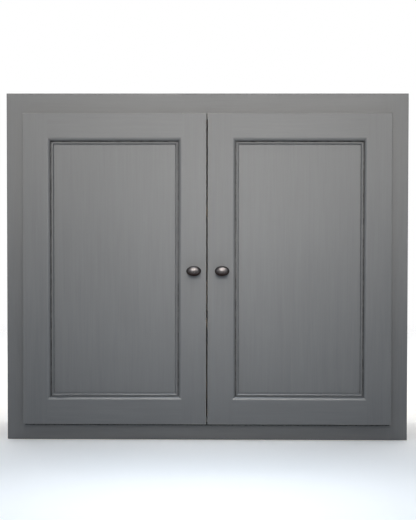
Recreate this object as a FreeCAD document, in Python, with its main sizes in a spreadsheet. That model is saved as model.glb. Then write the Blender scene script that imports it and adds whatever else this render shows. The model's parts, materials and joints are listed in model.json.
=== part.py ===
import FreeCAD, Part
import math
import operator
import os
from collections import namedtuple
from types import SimpleNamespace

import Sketcher

# A two-door wall cabinet with a face frame, in millimetres.
# X runs to the right, Y to the back and Z up; the doors face -Y.
# The origin is at the middle of the whole cabinet's footprint, on its underside.

# Driving sizes, one cell of the sheet each.
SIZES = {
    # Case
    "overall_width": 914.0,
    "overall_height": 790.0,
    "cabinet_depth": 305.0,
    "side_thickness": 18.0,
    "deck_thickness": 18.0,
    "back_thickness": 6.0,
    "housing_depth": 6.0,
    "tongue_thickness": 6.0,
    "tongue_length": 6.0,
    "hanging_rail_thickness": 19.0,
    "hanging_rail_height": 89.0,
    "mounting_hole_diameter": 5.0,
    "mounting_hole_spacing": 406.4,
    # Face frame, with the strips of it that show round the doors
    "frame_thickness": 19.0,
    "side_reveal": 39.0,
    "top_reveal": 46.0,
    "bottom_reveal": 38.0,
    "overlay_width": 14.0,
    "frame_edge_radius": 1.5,
    "frame_tenon_thickness": 6.0,
    "frame_tenon_length": 20.0,
    "frame_tenon_shoulder": 10.0,
    # Doors
    "door_thickness": 19.0,
    "door_gap": 3.0,
    "bumper_gap": 2.0,
    "door_frame_width": 55.0,
    "panel_recess": 8.5,
    "panel_thickness": 6.0,
    "panel_groove_depth": 10.0,
    "panel_float": 1.5,
    "front_edge_radius": 1.0,
    "rear_edge_radius": 2.6,
    # Section of the moulding, from the door frame towards the panel
    "moulding_width": 15.5,
    "ovolo_width": 7.0,
    "ovolo_radius": 6.5,
    "channel_width": 3.7,
    "channel_floor": 1.0,
    "bead_height": 5.2,
    "bead_radius": 2.2,
    # Knobs
    "knob_width": 33.0,
    "knob_height": 23.0,
    "knob_projection": 25.0,
    "knob_dome_height": 6.5,
    "knob_foot_diameter": 16.0,
    "knob_foot_thickness": 2.0,
    "knob_waist_diameter": 9.0,
    "knob_waist_start": 5.0,
    "knob_waist_end": 12.0,
    "knob_neck_diameter": 15.0,
    "knob_waist_radius": 3.5,
    "knob_drop": 3.5,
    "left_knob_inset": 28.0,
    "right_knob_inset": 33.0,
    "knob_screw_diameter": 4.0,
    "knob_screw_head_diameter": 9.0,
    "knob_screw_head_height": 2.5,
    "knob_screw_reach": 12.0,
    # Cup hinges
    "hinge_inset": 95.0,
    "pivot_from_edge": 7.55,
    "pivot_from_rear": 9.2,
    "cup_diameter": 35.0,
    "cup_depth": 12.7,
    "cup_edge_distance": 3.0,
    "cup_wall": 1.2,
    "cup_floor": 0.9,
    "cup_fit": 0.05,
    "cheek_reach": 4.0,
    "cheek_gap": 13.0,
    "flange_thickness": 1.0,
    "flange_height": 58.0,
    "flange_setback": 0.5,
    "flange_reach": 14.0,
    "flange_corner_radius": 5.0,
    "cup_screw_distance": 45.0,
    "cup_screw_offset": 9.5,
    "hinge_pin_diameter": 2.5,
    "hinge_pin_length": 19.0,
    "hinge_pin_play": 0.05,
    "hinge_pin_seat": 0.02,
    "knuckle_diameter": 4.5,
    "arm_thickness": 2.0,
    "arm_neck_height": 9.0,
    "arm_plate_height": 20.0,
    "arm_bend_radius": 3.0,
    "arm_end_setback": 1.5,
    "base_thickness": 4.0,
    "base_height": 46.0,
    "base_setback": 1.0,
    "base_corner_radius": 3.0,
    "base_screw_distance": 33.0,
    "plate_screw_setback": 10.0,
    # Screws of the hinges
    "screw_diameter": 3.5,
    "screw_head_diameter": 7.0,
    "screw_head_height": 1.6,
    "screw_head_bevel": 0.8,
    "screw_length": 12.0,
    "screw_point": 2.0,
    "screw_clearance": 0.05,
    # Door bumpers
    "bumper_diameter": 8.0,
    "bumper_clearance": 0.3,
    "bumper_inset": 35.0,
    # Shelves and their pins
    "shelf_thickness": 18.0,
    "shelf_end_gap": 1.5,
    "shelf_front_setback": 12.0,
    "shelf_back_gap": 3.0,
    "shelf_edge_radius": 2.0,
    "pin_hole_diameter": 5.0,
    "pin_hole_depth": 10.0,
    "pin_hole_pitch": 50.8,
    "pin_first_row": 152.4,
    "pin_column_setback": 37.0,
    "pin_clearance": 0.05,
    "pin_shank_length": 9.0,
    "pin_collar_diameter": 7.5,
    "pin_collar_thickness": 1.2,
    "pin_tab_diameter": 7.0,
    "pin_tab_length": 10.0,
    # Two places closer than this count as the same one
    "same_place": 0.001,
}

PIN_ROWS = 8
LOWER_SHELF_ROW = 1
UPPER_SHELF_ROW = 6

# The end of the label of a body that is only there to be mirrored.
PATTERN = "_pattern"

OPERATIONS = {"+": operator.add, "-": operator.sub, "*": operator.mul, "/": operator.truediv}

# The sketch planes' normals, as a sign along the axis that each plane is square to.
NORMALS = {"XY": 1, "XZ": -1, "YZ": 1}

Circle = namedtuple("Circle", "across up diameter")


class Size:
    """A length that knows its present value and the formula that ties it to the sheet."""

    def __init__(self, value, formula):
        self.value = value
        self.formula = formula

    def __add__(self, other):
        return combined(self, "+", other)

    def __radd__(self, other):
        return combined(other, "+", self)

    def __sub__(self, other):
        return combined(self, "-", other)

    def __rsub__(self, other):
        return combined(other, "-", self)

    def __mul__(self, other):
        return combined(self, "*", other)

    def __rmul__(self, other):
        return combined(other, "*", self)

    def __truediv__(self, other):
        return combined(self, "/", other)

    def __neg__(self):
        return combined(-1, "*", self)


def as_size(item):
    """A plain number as a Size, so that it mixes with the named ones."""
    return item if isinstance(item, Size) else Size(item, f"({item})")


def combined(left, sign, right):
    """The Size that an operation on two lengths gives."""
    left = as_size(left)
    right = as_size(right)
    value = OPERATIONS[sign](left.value, right.value)
    return Size(value, f"({left.formula} {sign} {right.formula})")


def make_sheet():
    """Fill the sheet and return its sizes by name."""
    sheet = document.addObject("Spreadsheet::Sheet", "Sizes")
    for row, (name, value) in enumerate(SIZES.items(), start=1):
        sheet.set(f"A{row}", name)
        sheet.set(f"B{row}", str(value))
        sheet.setAlias(f"B{row}", name)
    document.recompute()
    return SimpleNamespace(**{name: Size(value, f"Sizes.{name}") for name, value in SIZES.items()})


def derive(size):
    """Work out the sizes and places that several pieces share."""
    # Across: the cabinet's left side is at -half_width, and a door's place is its outer edge.
    size.half_width = size.overall_width / 2
    size.left_edge = -size.half_width
    size.door_edge = size.left_edge + size.side_reveal
    size.frame_stile_width = size.side_reveal + size.overlay_width
    size.housing_reach = size.half_width - size.side_thickness + size.housing_depth
    # Heights: the decks' faces line up with the edges of the face frame's opening.
    size.floor_height = size.bottom_reveal + size.overlay_width
    size.ceiling_height = size.overall_height - size.top_reveal - size.overlay_width
    size.case_bottom = size.floor_height - size.deck_thickness
    size.case_top = size.ceiling_height + size.deck_thickness
    size.first_row_level = size.floor_height + size.pin_first_row
    # Depths behind the face frame's front
    size.back_rear = size.cabinet_depth - size.hanging_rail_thickness
    size.back_front = size.back_rear - size.back_thickness
    front_column = size.frame_thickness + size.pin_column_setback
    size.pin_columns = [front_column, size.back_front - size.pin_column_setback]
    size.frame_tenon_front = (size.frame_thickness - size.frame_tenon_thickness) / 2
    size.frame_tenon_rear = size.frame_tenon_front + size.frame_tenon_thickness
    # Depths of the door's faces, which lie before the frame's front
    size.door_rear = -size.bumper_gap
    size.door_front = size.door_rear - size.door_thickness
    size.panel_face = size.door_front + size.panel_recess
    size.panel_rear = size.panel_face + size.panel_thickness
    size.frame_front = (size.knob_projection - size.door_front - size.cabinet_depth) / 2
    # Doors
    size.door_width = size.half_width - size.side_reveal - size.door_gap / 2
    size.door_height = size.overall_height - size.top_reveal - size.bottom_reveal
    size.door_middle = size.door_edge + size.door_width / 2
    size.opening_width = size.door_width - 2 * size.door_frame_width
    size.opening_height = size.door_height - 2 * size.door_frame_width
    size.opening_bottom = size.bottom_reveal + size.door_frame_width
    size.opening_top = size.opening_bottom + size.opening_height
    size.opening_middle = size.opening_bottom + size.opening_height / 2
    size.knob_level = size.opening_middle - size.knob_drop
    # Hinges: places across are measured from the door's outer edge, depths from the frame's front.
    size.pivot_depth = size.door_rear - size.pivot_from_rear
    size.cup_centre = size.cup_edge_distance + size.cup_diameter / 2
    size.cup_bottom = size.door_rear - size.cup_depth
    size.flange_face = size.door_rear + size.flange_thickness
    size.base_face = size.overlay_width + size.base_thickness
    size.plate_face = size.base_face + size.arm_thickness
    size.hinge_level = size.bottom_reveal + size.hinge_inset
    size.hinge_spacing = size.door_height - 2 * size.hinge_inset
    size.screw_bore = size.screw_diameter + 2 * size.screw_clearance
    size.knob_screw_bore = size.knob_screw_diameter + 2 * size.screw_clearance


def plane_of(body, role):
    """One of the body's own origin planes or axes."""
    return next(item for item in body.Origin.OriginFeatures if item.Role == role)


def new_body(label, across=0, along=0, up=0, turn=0):
    """A sub-part whose origin is placed in the cabinet by three lengths, turned about the Y axis."""
    body = document.addObject("PartDesign::Body", label)
    body.Label = label
    rotation = FreeCAD.Rotation(FreeCAD.Vector(0, 1, 0), turn)
    body.Placement = FreeCAD.Placement(FreeCAD.Vector(0, 0, 0), rotation)
    for axis, place in zip("xyz", (across, along, up)):
        body.setExpression("Placement.Base." + axis, as_size(place).formula)
    return body


def new_sketch(body, plane, level):
    """A sketch on one of the body's planes, moved along that plane's axis to a level."""
    sketch = body.newObject("Sketcher::SketchObject", plane + "_Sketch")
    sketch.AttachmentSupport = [(plane_of(body, plane + "_Plane"), "")]
    sketch.MapMode = "FlatFace"
    sketch.setExpression("AttachmentOffset.Base.z", (as_size(level) * NORMALS[plane]).formula)
    return sketch


def fix(sketch, kind, length, *points):
    """Add a measured constraint that follows a length."""
    constraint = sketch.addConstraint(Sketcher.Constraint(kind, *points, length.value))
    sketch.setExpression(f"Constraints[{constraint}]", length.formula)


def fix_point(sketch, index, position, across, up):
    """Tie a point of the sketch to its two measures from the sketch's origin."""
    fix(sketch, "DistanceX", as_size(across), -1, 1, index, position)
    fix(sketch, "DistanceY", as_size(up), -1, 1, index, position)


def draw_circle(sketch, circle):
    """Draw a circle at its place, with its diameter."""
    centre = FreeCAD.Vector(as_size(circle.across).value, as_size(circle.up).value, 0)
    radius = circle.diameter / 2
    index = sketch.addGeometry(Part.Circle(centre, FreeCAD.Vector(0, 0, 1), radius.value), False)
    fix_point(sketch, index, 3, circle.across, circle.up)
    fix(sketch, "Radius", radius, index)


def rounding(before, corner, after, radius):
    """Where an arc that rounds a corner has its centre, start and end, and whether it runs clockwise."""
    to_before = (before - corner).normalize()
    to_after = (after - corner).normalize()
    half_angle = to_before.getAngle(to_after) / 2
    bisector = (to_before + to_after).normalize()
    centre = corner + bisector * (radius / math.sin(half_angle))
    cut = radius / math.tan(half_angle)
    return centre, corner + to_before * cut, corner + to_after * cut, to_before.cross(to_after).z > 0


def draw_outline(sketch, corners):
    """Draw a closed outline; a corner with a third entry is rounded to that radius."""
    points = [FreeCAD.Vector(as_size(corner[0]).value, as_size(corner[1]).value, 0) for corner in corners]
    following = points[1:] + points[:1]
    arrivals = list(points)
    departures = list(points)
    arcs = {}
    for number, corner in enumerate(corners):
        if len(corner) == 3:
            radius = corner[2].value
            neighbours = (points[number - 1], points[number], following[number])
            centre, start, end, clockwise = rounding(*neighbours, radius)
            arrivals[number] = start
            departures[number] = end
            circle = Part.Circle(centre, FreeCAD.Vector(0, 0, 1), radius)
            first, last = (end, start) if clockwise else (start, end)
            arc = Part.ArcOfCircle(circle, circle.parameter(first), circle.parameter(last))
            arcs[number] = (sketch.addGeometry(arc, False), clockwise)
    targets = arrivals[1:] + arrivals[:1]
    lines = [sketch.addGeometry(Part.LineSegment(*ends), False) for ends in zip(departures, targets)]
    for number, corner in enumerate(corners):
        arriving, leaving = lines[number - 1], lines[number]
        if number not in arcs:
            sketch.addConstraint(Sketcher.Constraint("Coincident", arriving, 2, leaving, 1))
            fix_point(sketch, leaving, 1, corner[0], corner[1])
            continue
        arc, clockwise = arcs[number]
        first, last = (2, 1) if clockwise else (1, 2)
        sketch.addConstraint(Sketcher.Constraint("Tangent", arriving, 2, arc, first))
        sketch.addConstraint(Sketcher.Constraint("Tangent", arc, last, leaving, 1))
        fix(sketch, "Radius", corner[2], arc)
        mark = sketch.addGeometry(Part.Point(points[number]), True)
        sketch.addConstraint(Sketcher.Constraint("PointOnObject", mark, 1, arriving))
        sketch.addConstraint(Sketcher.Constraint("PointOnObject", mark, 1, leaving))
        fix_point(sketch, mark, 1, corner[0], corner[1])


def rectangle(left, bottom, right, top, *radius):
    """The corners of a rectangle between two opposite ones, rounded where a radius is given."""
    return [(left, bottom, *radius), (right, bottom, *radius), (right, top, *radius), (left, top, *radius)]


def draw(sketch, shapes):
    """Draw circles, outlines and shapes that draw themselves."""
    for shape in shapes:
        if isinstance(shape, Circle):
            draw_circle(sketch, shape)
        elif callable(shape):
            shape(sketch)
        else:
            draw_outline(sketch, shape)


def extrude(body, kind, plane, start, end, shapes):
    """Add or cut the shapes' prism between two levels along the axis square to the plane."""
    sketch = new_sketch(body, plane, start)
    draw(sketch, shapes)
    feature = body.newObject("PartDesign::" + kind, kind)
    feature.Profile = sketch
    reach = as_size(end) - start
    upwards = reach.value > 0
    feature.setExpression("Length", (reach if upwards else -reach).formula)
    along_normal = upwards == (NORMALS[plane] > 0)
    feature.Reversed = along_normal == (kind == "Pocket")


def pad(body, plane, start, end, *shapes):
    """Add a prism between two levels."""
    extrude(body, "Pad", plane, start, end, shapes)


def pocket(body, plane, start, end, *shapes):
    """Cut a prism between two levels."""
    extrude(body, "Pocket", plane, start, end, shapes)


def revolve(body, axis, outline):
    """Turn an outline in the XY plane round that plane's own horizontal (H) or vertical (V) axis."""
    sketch = new_sketch(body, "XY", 0)
    draw_outline(sketch, outline)
    feature = body.newObject("PartDesign::Revolution", "Revolution")
    feature.Profile = sketch
    feature.ReferenceAxis = (sketch, [axis + "_Axis"])


def lies_in(edge, planes):
    """Whether the edge lies in each plane, given as an axis and its level there."""
    return all(
        abs(getattr(vertex.Point, axis) - as_size(level).value) < size.same_place.value
        for vertex in edge.Vertexes
        for axis, level in planes.items()
    )


def round_edges(body, radius, *places):
    """Round the edges that lie where two planes meet, each place giving those planes."""
    document.recompute()
    base = body.Tip
    names = [
        f"Edge{number}"
        for number, edge in enumerate(base.Shape.Edges, start=1)
        if any(lies_in(edge, planes) for planes in places)
    ]
    fillet = body.newObject("PartDesign::Fillet", "Fillet")
    fillet.Base = (base, names)
    fillet.setExpression("Radius", radius.formula)


def repeat(body, axis, distance):
    """Repeat the body's whole shape once more, at a distance along an axis."""
    pattern = body.newObject("PartDesign::LinearPattern", "LinearPattern")
    pattern.TransformMode = "Whole shape"
    pattern.Direction = (plane_of(body, axis + "_Axis"), [""])
    pattern.setExpression("Length", distance.formula)
    pattern.Occurrences = 2
    body.Tip = pattern


def mirror_within(body, plane):
    """Add to the body its own mirror image across one of its planes."""
    image = body.newObject("PartDesign::Mirrored", "Mirrored")
    image.TransformMode = "Whole shape"
    image.MirrorPlane = (plane_of(body, plane + "_Plane"), [""])
    body.Tip = image


def right_hand(body):
    """The right-hand twin of a left-hand sub-part: its mirror image across the cabinet's middle."""
    label = body.Label.replace("left", "right").removesuffix(PATTERN)
    twin = document.addObject("Part::Mirroring", label)
    twin.Label = label
    twin.Source = body
    twin.Normal = FreeCAD.Vector(1, 0, 0)
    return twin


def left_side_panel():
    """A side: a tongue into the face frame, housings for the decks and the back, and rows of pin holes."""
    body = new_body("left_side_panel", size.left_edge, size.frame_front)
    tongue_start = (size.side_thickness - size.tongue_thickness) / 2
    tongue_end = tongue_start + size.tongue_thickness
    tongue_front = size.frame_thickness - size.tongue_length
    housing = size.side_thickness - size.housing_depth
    plan = [
        (0, size.frame_thickness),
        (tongue_start, size.frame_thickness),
        (tongue_start, tongue_front),
        (tongue_end, tongue_front),
        (tongue_end, size.frame_thickness),
        (size.side_thickness, size.frame_thickness),
        (size.side_thickness, size.back_front),
        (housing, size.back_front),
        (housing, size.back_rear),
        (size.side_thickness, size.back_rear),
        (size.side_thickness, size.cabinet_depth),
        (0, size.cabinet_depth),
    ]
    pad(body, "XY", 0, size.overall_height, plan)
    pocket(
        body, "YZ", size.side_thickness, housing,
        rectangle(size.frame_thickness, size.case_bottom, size.back_front, size.floor_height),
        rectangle(size.frame_thickness, size.ceiling_height, size.back_front, size.case_top),
    )
    holes = [
        Circle(column, size.first_row_level + row * size.pin_hole_pitch, size.pin_hole_diameter)
        for column in size.pin_columns
        for row in range(PIN_ROWS)
    ]
    pocket(body, "YZ", size.side_thickness, size.side_thickness - size.pin_hole_depth, *holes)
    return body


def deck(label, bottom):
    """The case's top or bottom: a board between the sides' housings, in front of the back."""
    body = new_body(label, 0, size.frame_front, bottom)
    plan = rectangle(-size.housing_reach, size.frame_thickness, size.housing_reach, size.back_front)
    pad(body, "XY", 0, size.deck_thickness, plan)
    return body


def mounting_holes(rise=0):
    """The pair of wall screw holes through a hanging rail's middle, raised by a height."""
    level = size.hanging_rail_height / 2 + rise
    reach = size.mounting_hole_spacing / 2
    return [Circle(across, level, size.mounting_hole_diameter) for across in (-reach, reach)]


def back_panel():
    """The back: a thin sheet in the sides' grooves, drilled in line with both hanging rails."""
    body = new_body("back_panel", 0, size.frame_front, size.case_bottom)
    height = size.case_top - size.case_bottom
    outline = rectangle(-size.housing_reach, 0, size.housing_reach, height)
    pad(body, "XZ", size.back_front, size.back_rear, outline)
    holes = mounting_holes() + mounting_holes(height - size.hanging_rail_height)
    pocket(body, "XZ", size.back_front, size.back_rear, *holes)
    return body


def hanging_rail(label, bottom):
    """A rail between the sides, behind the back, which the wall screws pass through."""
    body = new_body(label, 0, size.frame_front, bottom)
    reach = size.half_width - size.side_thickness
    outline = rectangle(-reach, 0, reach, size.hanging_rail_height)
    pad(body, "XZ", size.back_rear, size.cabinet_depth, outline)
    pocket(body, "XZ", size.back_rear, size.cabinet_depth, *mounting_holes())
    return body


def case():
    """The box behind the face frame."""
    left = left_side_panel()
    return [
        left,
        right_hand(left),
        deck("bottom_panel", size.case_bottom),
        deck("top_panel", size.ceiling_height),
        back_panel(),
        hanging_rail("lower_hanging_rail", size.case_bottom),
        hanging_rail("upper_hanging_rail", size.case_top - size.hanging_rail_height),
    ]


def left_frame_stile():
    """An upright of the face frame: grooved for the side's tongue, mortised and drilled for the hinges."""
    body = new_body("frame_left_stile", size.left_edge, size.frame_front)
    groove_start = (size.side_thickness - size.tongue_thickness) / 2
    groove_end = groove_start + size.tongue_thickness
    groove_floor = size.frame_thickness - size.tongue_length
    width = size.frame_stile_width
    plan = [
        (0, 0),
        (width, 0),
        (width, size.frame_thickness),
        (groove_end, size.frame_thickness),
        (groove_end, groove_floor),
        (groove_start, groove_floor),
        (groove_start, size.frame_thickness),
        (0, size.frame_thickness),
    ]
    pad(body, "XY", 0, size.overall_height, plan)
    round_edges(
        body, size.frame_edge_radius,
        {"x": 0, "y": 0}, {"y": 0, "z": 0}, {"y": 0, "z": size.overall_height},
    )
    shoulder = size.frame_tenon_shoulder
    mortises = [
        rectangle(size.frame_tenon_front, bottom + shoulder, size.frame_tenon_rear, top - shoulder)
        for bottom, top in ((0, size.floor_height), (size.ceiling_height, size.overall_height))
    ]
    pocket(body, "YZ", width, width - size.frame_tenon_length, *mortises)
    pilots = [
        Circle(size.plate_screw_setback, level + offset, size.screw_bore)
        for level in (size.hinge_level, size.hinge_level + size.hinge_spacing)
        for offset in (-size.base_screw_distance / 2, 0, size.base_screw_distance / 2)
    ]
    pocket(body, "YZ", width, width - size.screw_length, *pilots)
    return body


def frame_rail(label, bottom, top, outer_edge):
    """A crosspiece of the face frame with a tenon at each end."""
    body = new_body(label, 0, size.frame_front)
    reach = size.half_width - size.frame_stile_width
    pad(body, "XZ", 0, size.frame_thickness, rectangle(-reach, bottom, reach, top))
    round_edges(body, size.frame_edge_radius, {"y": 0, "z": outer_edge})
    reach += size.frame_tenon_length
    shoulder = size.frame_tenon_shoulder
    tenon = rectangle(-reach, bottom + shoulder, reach, top - shoulder)
    pad(body, "XZ", size.frame_tenon_front, size.frame_tenon_rear, tenon)
    return body


def face_frame():
    """The frame on the front of the case."""
    left = left_frame_stile()
    return [
        left,
        right_hand(left),
        frame_rail("frame_bottom_rail", 0, size.floor_height, 0),
        frame_rail("frame_top_rail", size.ceiling_height, size.overall_height, size.overall_height),
    ]


def shelf(label, row):
    """An adjustable shelf with a rounded front edge, lying on four pins."""
    body = new_body(label, 0, size.frame_front, size.first_row_level + row * size.pin_hole_pitch)
    reach = size.half_width - size.side_thickness - size.shelf_end_gap
    front = size.frame_thickness + size.shelf_front_setback
    rear = size.back_front - size.shelf_back_gap
    section = [
        (front, 0, size.shelf_edge_radius),
        (rear, 0),
        (rear, size.shelf_thickness),
        (front, size.shelf_thickness, size.shelf_edge_radius),
    ]
    pad(body, "YZ", -reach, reach, section)
    return body


def shelf_pins(label, row):
    """Four pins: a shank in the side, a collar on its face and a tab with a flat top under the shelf."""
    front, rear = size.pin_columns
    body = new_body(label, 0, size.frame_front + front, size.first_row_level + row * size.pin_hole_pitch)
    face = -(size.half_width - size.side_thickness)
    collar_end = face + size.pin_collar_thickness
    tab_end = collar_end + size.pin_tab_length
    tab_radius = size.pin_tab_diameter / 2
    shank_diameter = size.pin_hole_diameter - 2 * size.pin_clearance
    pad(body, "YZ", face, face - size.pin_shank_length, Circle(0, 0, shank_diameter))
    pad(body, "YZ", face, collar_end, Circle(0, 0, size.pin_collar_diameter))
    pad(body, "YZ", collar_end, tab_end, Circle(0, 0, size.pin_tab_diameter))
    pocket(body, "YZ", collar_end, tab_end, rectangle(-tab_radius, 0, tab_radius, tab_radius))
    repeat(body, "Y", rear - front)
    mirror_within(body, "YZ")
    return body


def shelves():
    """The shelves and their pins."""
    return [
        shelf("lower_shelf", LOWER_SHELF_ROW),
        shelf("upper_shelf", UPPER_SHELF_ROW),
        shelf_pins("lower_shelf_pins", LOWER_SHELF_ROW),
        shelf_pins("upper_shelf_pins", UPPER_SHELF_ROW),
    ]


def hinge_body(label):
    """A body whose origin is on the left door's outer edge, level with its lower hinge."""
    return new_body(label, size.door_edge, size.frame_front, size.hinge_level)


def hinge_bases():
    """The blocks on the inner edge of the face frame's stile that carry the hinge arms."""
    body = hinge_body("left_hinge_bases")
    half_height = size.base_height / 2
    rear = size.frame_thickness - size.base_setback
    face = rectangle(size.base_setback, -half_height, rear, half_height, size.base_corner_radius)
    pad(body, "YZ", size.overlay_width, size.base_face, face)
    holes = [
        Circle(size.plate_screw_setback, offset, size.screw_bore)
        for offset in (-size.base_screw_distance / 2, 0, size.base_screw_distance / 2)
    ]
    pocket(body, "YZ", size.overlay_width, size.base_face, *holes)
    repeat(body, "Z", size.hinge_spacing)
    return body


def hinge_arms():
    """The bent arms: a knuckle round the pin, a neck out of the cup and a plate on the base."""
    body = hinge_body("left_hinge_arms")
    half_neck = size.arm_neck_height / 2
    half_plate = size.arm_plate_height / 2
    pivot = size.pivot_from_edge
    leg_front = size.pivot_depth - size.knuckle_diameter / 2
    leg_rear = leg_front + size.arm_thickness
    end = size.frame_thickness - size.arm_end_setback
    neck = [
        (pivot, leg_front),
        (size.plate_face, leg_front, size.arm_bend_radius),
        (size.plate_face, end),
        (size.base_face, end),
        (size.base_face, leg_rear, size.arm_bend_radius - size.arm_thickness),
        (pivot, leg_rear),
    ]
    pad(body, "XY", -half_neck, half_neck, neck)
    pad(body, "XY", -half_neck, half_neck, Circle(pivot, size.pivot_depth, size.knuckle_diameter))
    plate = rectangle(size.base_setback, -half_plate, end, half_plate, size.arm_bend_radius)
    pad(body, "YZ", size.base_face, size.plate_face, plate)
    pin_bore = size.hinge_pin_diameter + 2 * size.hinge_pin_play
    pocket(body, "XY", -half_neck, half_neck, Circle(pivot, size.pivot_depth, pin_bore))
    screw_hole = Circle(size.plate_screw_setback, 0, size.screw_bore)
    pocket(body, "YZ", size.base_face, size.plate_face, screw_hole)
    repeat(body, "Z", size.hinge_spacing)
    return body


def draw_cup_hollow(sketch):
    """The cup's hollow: a wide bowl, and a narrow bay towards the door's edge between two cheeks."""
    radius = size.cup_diameter / 2 - size.cup_wall
    centre = size.cup_centre
    cheek = size.pivot_from_edge + size.cheek_reach
    half_gap = size.cheek_gap / 2
    bowl_rise = math.sqrt(radius.value**2 - (centre - cheek).value**2)
    bay_reach = math.sqrt(radius.value**2 - half_gap.value**2)
    middle = FreeCAD.Vector(centre.value, 0, 0)
    bowl_top = FreeCAD.Vector(cheek.value, bowl_rise, 0)
    bowl_foot = FreeCAD.Vector(cheek.value, -bowl_rise, 0)
    bay_top = FreeCAD.Vector(centre.value - bay_reach, half_gap.value, 0)
    bay_foot = FreeCAD.Vector(centre.value - bay_reach, -half_gap.value, 0)
    circle = Part.Circle(middle, FreeCAD.Vector(0, 0, 1), radius.value)
    ends = ((bowl_foot, bowl_top), (bay_top, bay_foot))
    bowl, bay = [
        sketch.addGeometry(Part.ArcOfCircle(circle, circle.parameter(first), circle.parameter(last)), False)
        for first, last in ends
    ]
    for arc in (bowl, bay):
        fix_point(sketch, arc, 3, centre, 0)
        fix(sketch, "Radius", radius, arc)
    cheeks = ((1, 2, 1, bowl_top, bay_top), (-1, 1, 2, bowl_foot, bay_foot))
    for upward, bowl_end, bay_end, rim, inner in cheeks:
        corner = FreeCAD.Vector(cheek.value, upward * half_gap.value, 0)
        face = sketch.addGeometry(Part.LineSegment(rim, corner), False)
        side = sketch.addGeometry(Part.LineSegment(corner, inner), False)
        sketch.addConstraint(Sketcher.Constraint("Coincident", bowl, bowl_end, face, 1))
        sketch.addConstraint(Sketcher.Constraint("Coincident", face, 2, side, 1))
        sketch.addConstraint(Sketcher.Constraint("Coincident", side, 2, bay, bay_end))
        sketch.addConstraint(Sketcher.Constraint("Vertical", face))
        sketch.addConstraint(Sketcher.Constraint("Horizontal", side))
        fix_point(sketch, side, 1, cheek, upward * half_gap)


def cup_screw_holes(bore):
    """The two holes beside a cup that its screws go through."""
    across = size.cup_centre + size.cup_screw_offset
    reach = size.cup_screw_distance / 2
    return [Circle(across, offset, bore) for offset in (-reach, reach)]


def hinge_cups():
    """The cups in the door's rear, each with a flange for two screws and cheeks that hold the pin."""
    body = hinge_body("left_hinge_cups")
    outer = size.cup_diameter - 2 * size.cup_fit
    half_flange = size.flange_height / 2
    half_pin = size.hinge_pin_length / 2
    pad(body, "XZ", size.cup_bottom, size.door_rear, Circle(size.cup_centre, 0, outer))
    flange = rectangle(
        size.pivot_from_edge - size.flange_setback, -half_flange,
        size.cup_centre + size.flange_reach, half_flange, size.flange_corner_radius,
    )
    pad(body, "XZ", size.door_rear, size.flange_face, flange)
    pocket(body, "XZ", size.flange_face, size.cup_bottom + size.cup_floor, draw_cup_hollow)
    pin_seat = size.hinge_pin_diameter + 2 * size.hinge_pin_seat
    pocket(body, "XY", -half_pin, half_pin, Circle(size.pivot_from_edge, size.pivot_depth, pin_seat))
    pocket(body, "XZ", size.flange_face, size.door_rear, *cup_screw_holes(size.screw_bore))
    repeat(body, "Z", size.hinge_spacing)
    return body


def hinge_pins():
    """The pins that the doors turn on, held in the cups' cheeks."""
    body = hinge_body("left_hinge_pins")
    half_pin = size.hinge_pin_length / 2
    section = Circle(size.pivot_from_edge, size.pivot_depth, size.hinge_pin_diameter)
    pad(body, "XY", -half_pin, half_pin, section)
    repeat(body, "Z", size.hinge_spacing)
    return body


def screw_outline(diameter, head_diameter, head_height, length):
    """Half of a screw's section as pairs of a distance from the head's seat and a radius."""
    return [
        (-length, 0),
        (size.screw_point - length, diameter / 2),
        (0, diameter / 2),
        (0, head_diameter / 2),
        (head_height - size.screw_head_bevel, head_diameter / 2),
        (head_height, head_diameter / 2 - size.screw_head_bevel),
        (head_height, 0),
    ]


def hinge_screw_outline():
    """Half of the section of a screw of the hinges."""
    return screw_outline(
        size.screw_diameter, size.screw_head_diameter, size.screw_head_height, size.screw_length,
    )


def turned(outline):
    """The same outline with its two measures exchanged."""
    return [(corner[1], corner[0], *corner[2:]) for corner in outline]


def base_screws():
    """The screws that hold the hinge bases to the face frame."""
    level = size.hinge_level - size.base_screw_distance / 2
    seat = size.frame_front + size.plate_screw_setback
    body = new_body("left_base_screws", size.door_edge + size.base_face, seat, level)
    revolve(body, "H", hinge_screw_outline())
    repeat(body, "Z", size.base_screw_distance)
    repeat(body, "Z", size.hinge_spacing)
    return body


def arm_screws():
    """The screws that hold the hinge arms on their bases."""
    seat = size.frame_front + size.plate_screw_setback
    body = new_body("left_arm_screws", size.door_edge + size.plate_face, seat, size.hinge_level)
    revolve(body, "H", hinge_screw_outline())
    repeat(body, "Z", size.hinge_spacing)
    return body


def cup_screws():
    """The screws that hold the cups' flanges to the door."""
    across = size.door_edge + size.cup_centre + size.cup_screw_offset
    level = size.hinge_level - size.cup_screw_distance / 2
    body = new_body("left_cup_screws", across, size.frame_front + size.flange_face, level)
    revolve(body, "V", turned(hinge_screw_outline()))
    repeat(body, "Z", size.cup_screw_distance)
    repeat(body, "Z", size.hinge_spacing)
    return body


def stile_body(label, outer_edge, inward):
    """An upright of a door, grooved for the panel, with its outer edges rounded front and rear."""
    body = new_body(label, size.door_edge, size.frame_front, size.bottom_reveal)
    inner_edge = outer_edge + inward * size.door_frame_width
    groove_floor = inner_edge - inward * size.panel_groove_depth
    plan = [
        (outer_edge, size.door_front),
        (inner_edge, size.door_front),
        (inner_edge, size.panel_face),
        (groove_floor, size.panel_face),
        (groove_floor, size.panel_rear),
        (inner_edge, size.panel_rear),
        (inner_edge, size.door_rear),
        (outer_edge, size.door_rear, size.rear_edge_radius),
    ]
    pad(body, "XY", 0, size.door_height, plan)
    front = {"y": size.door_front}
    round_edges(
        body, size.front_edge_radius,
        {"x": outer_edge, **front}, {"z": 0, **front}, {"z": size.door_height, **front},
    )
    return body


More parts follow.
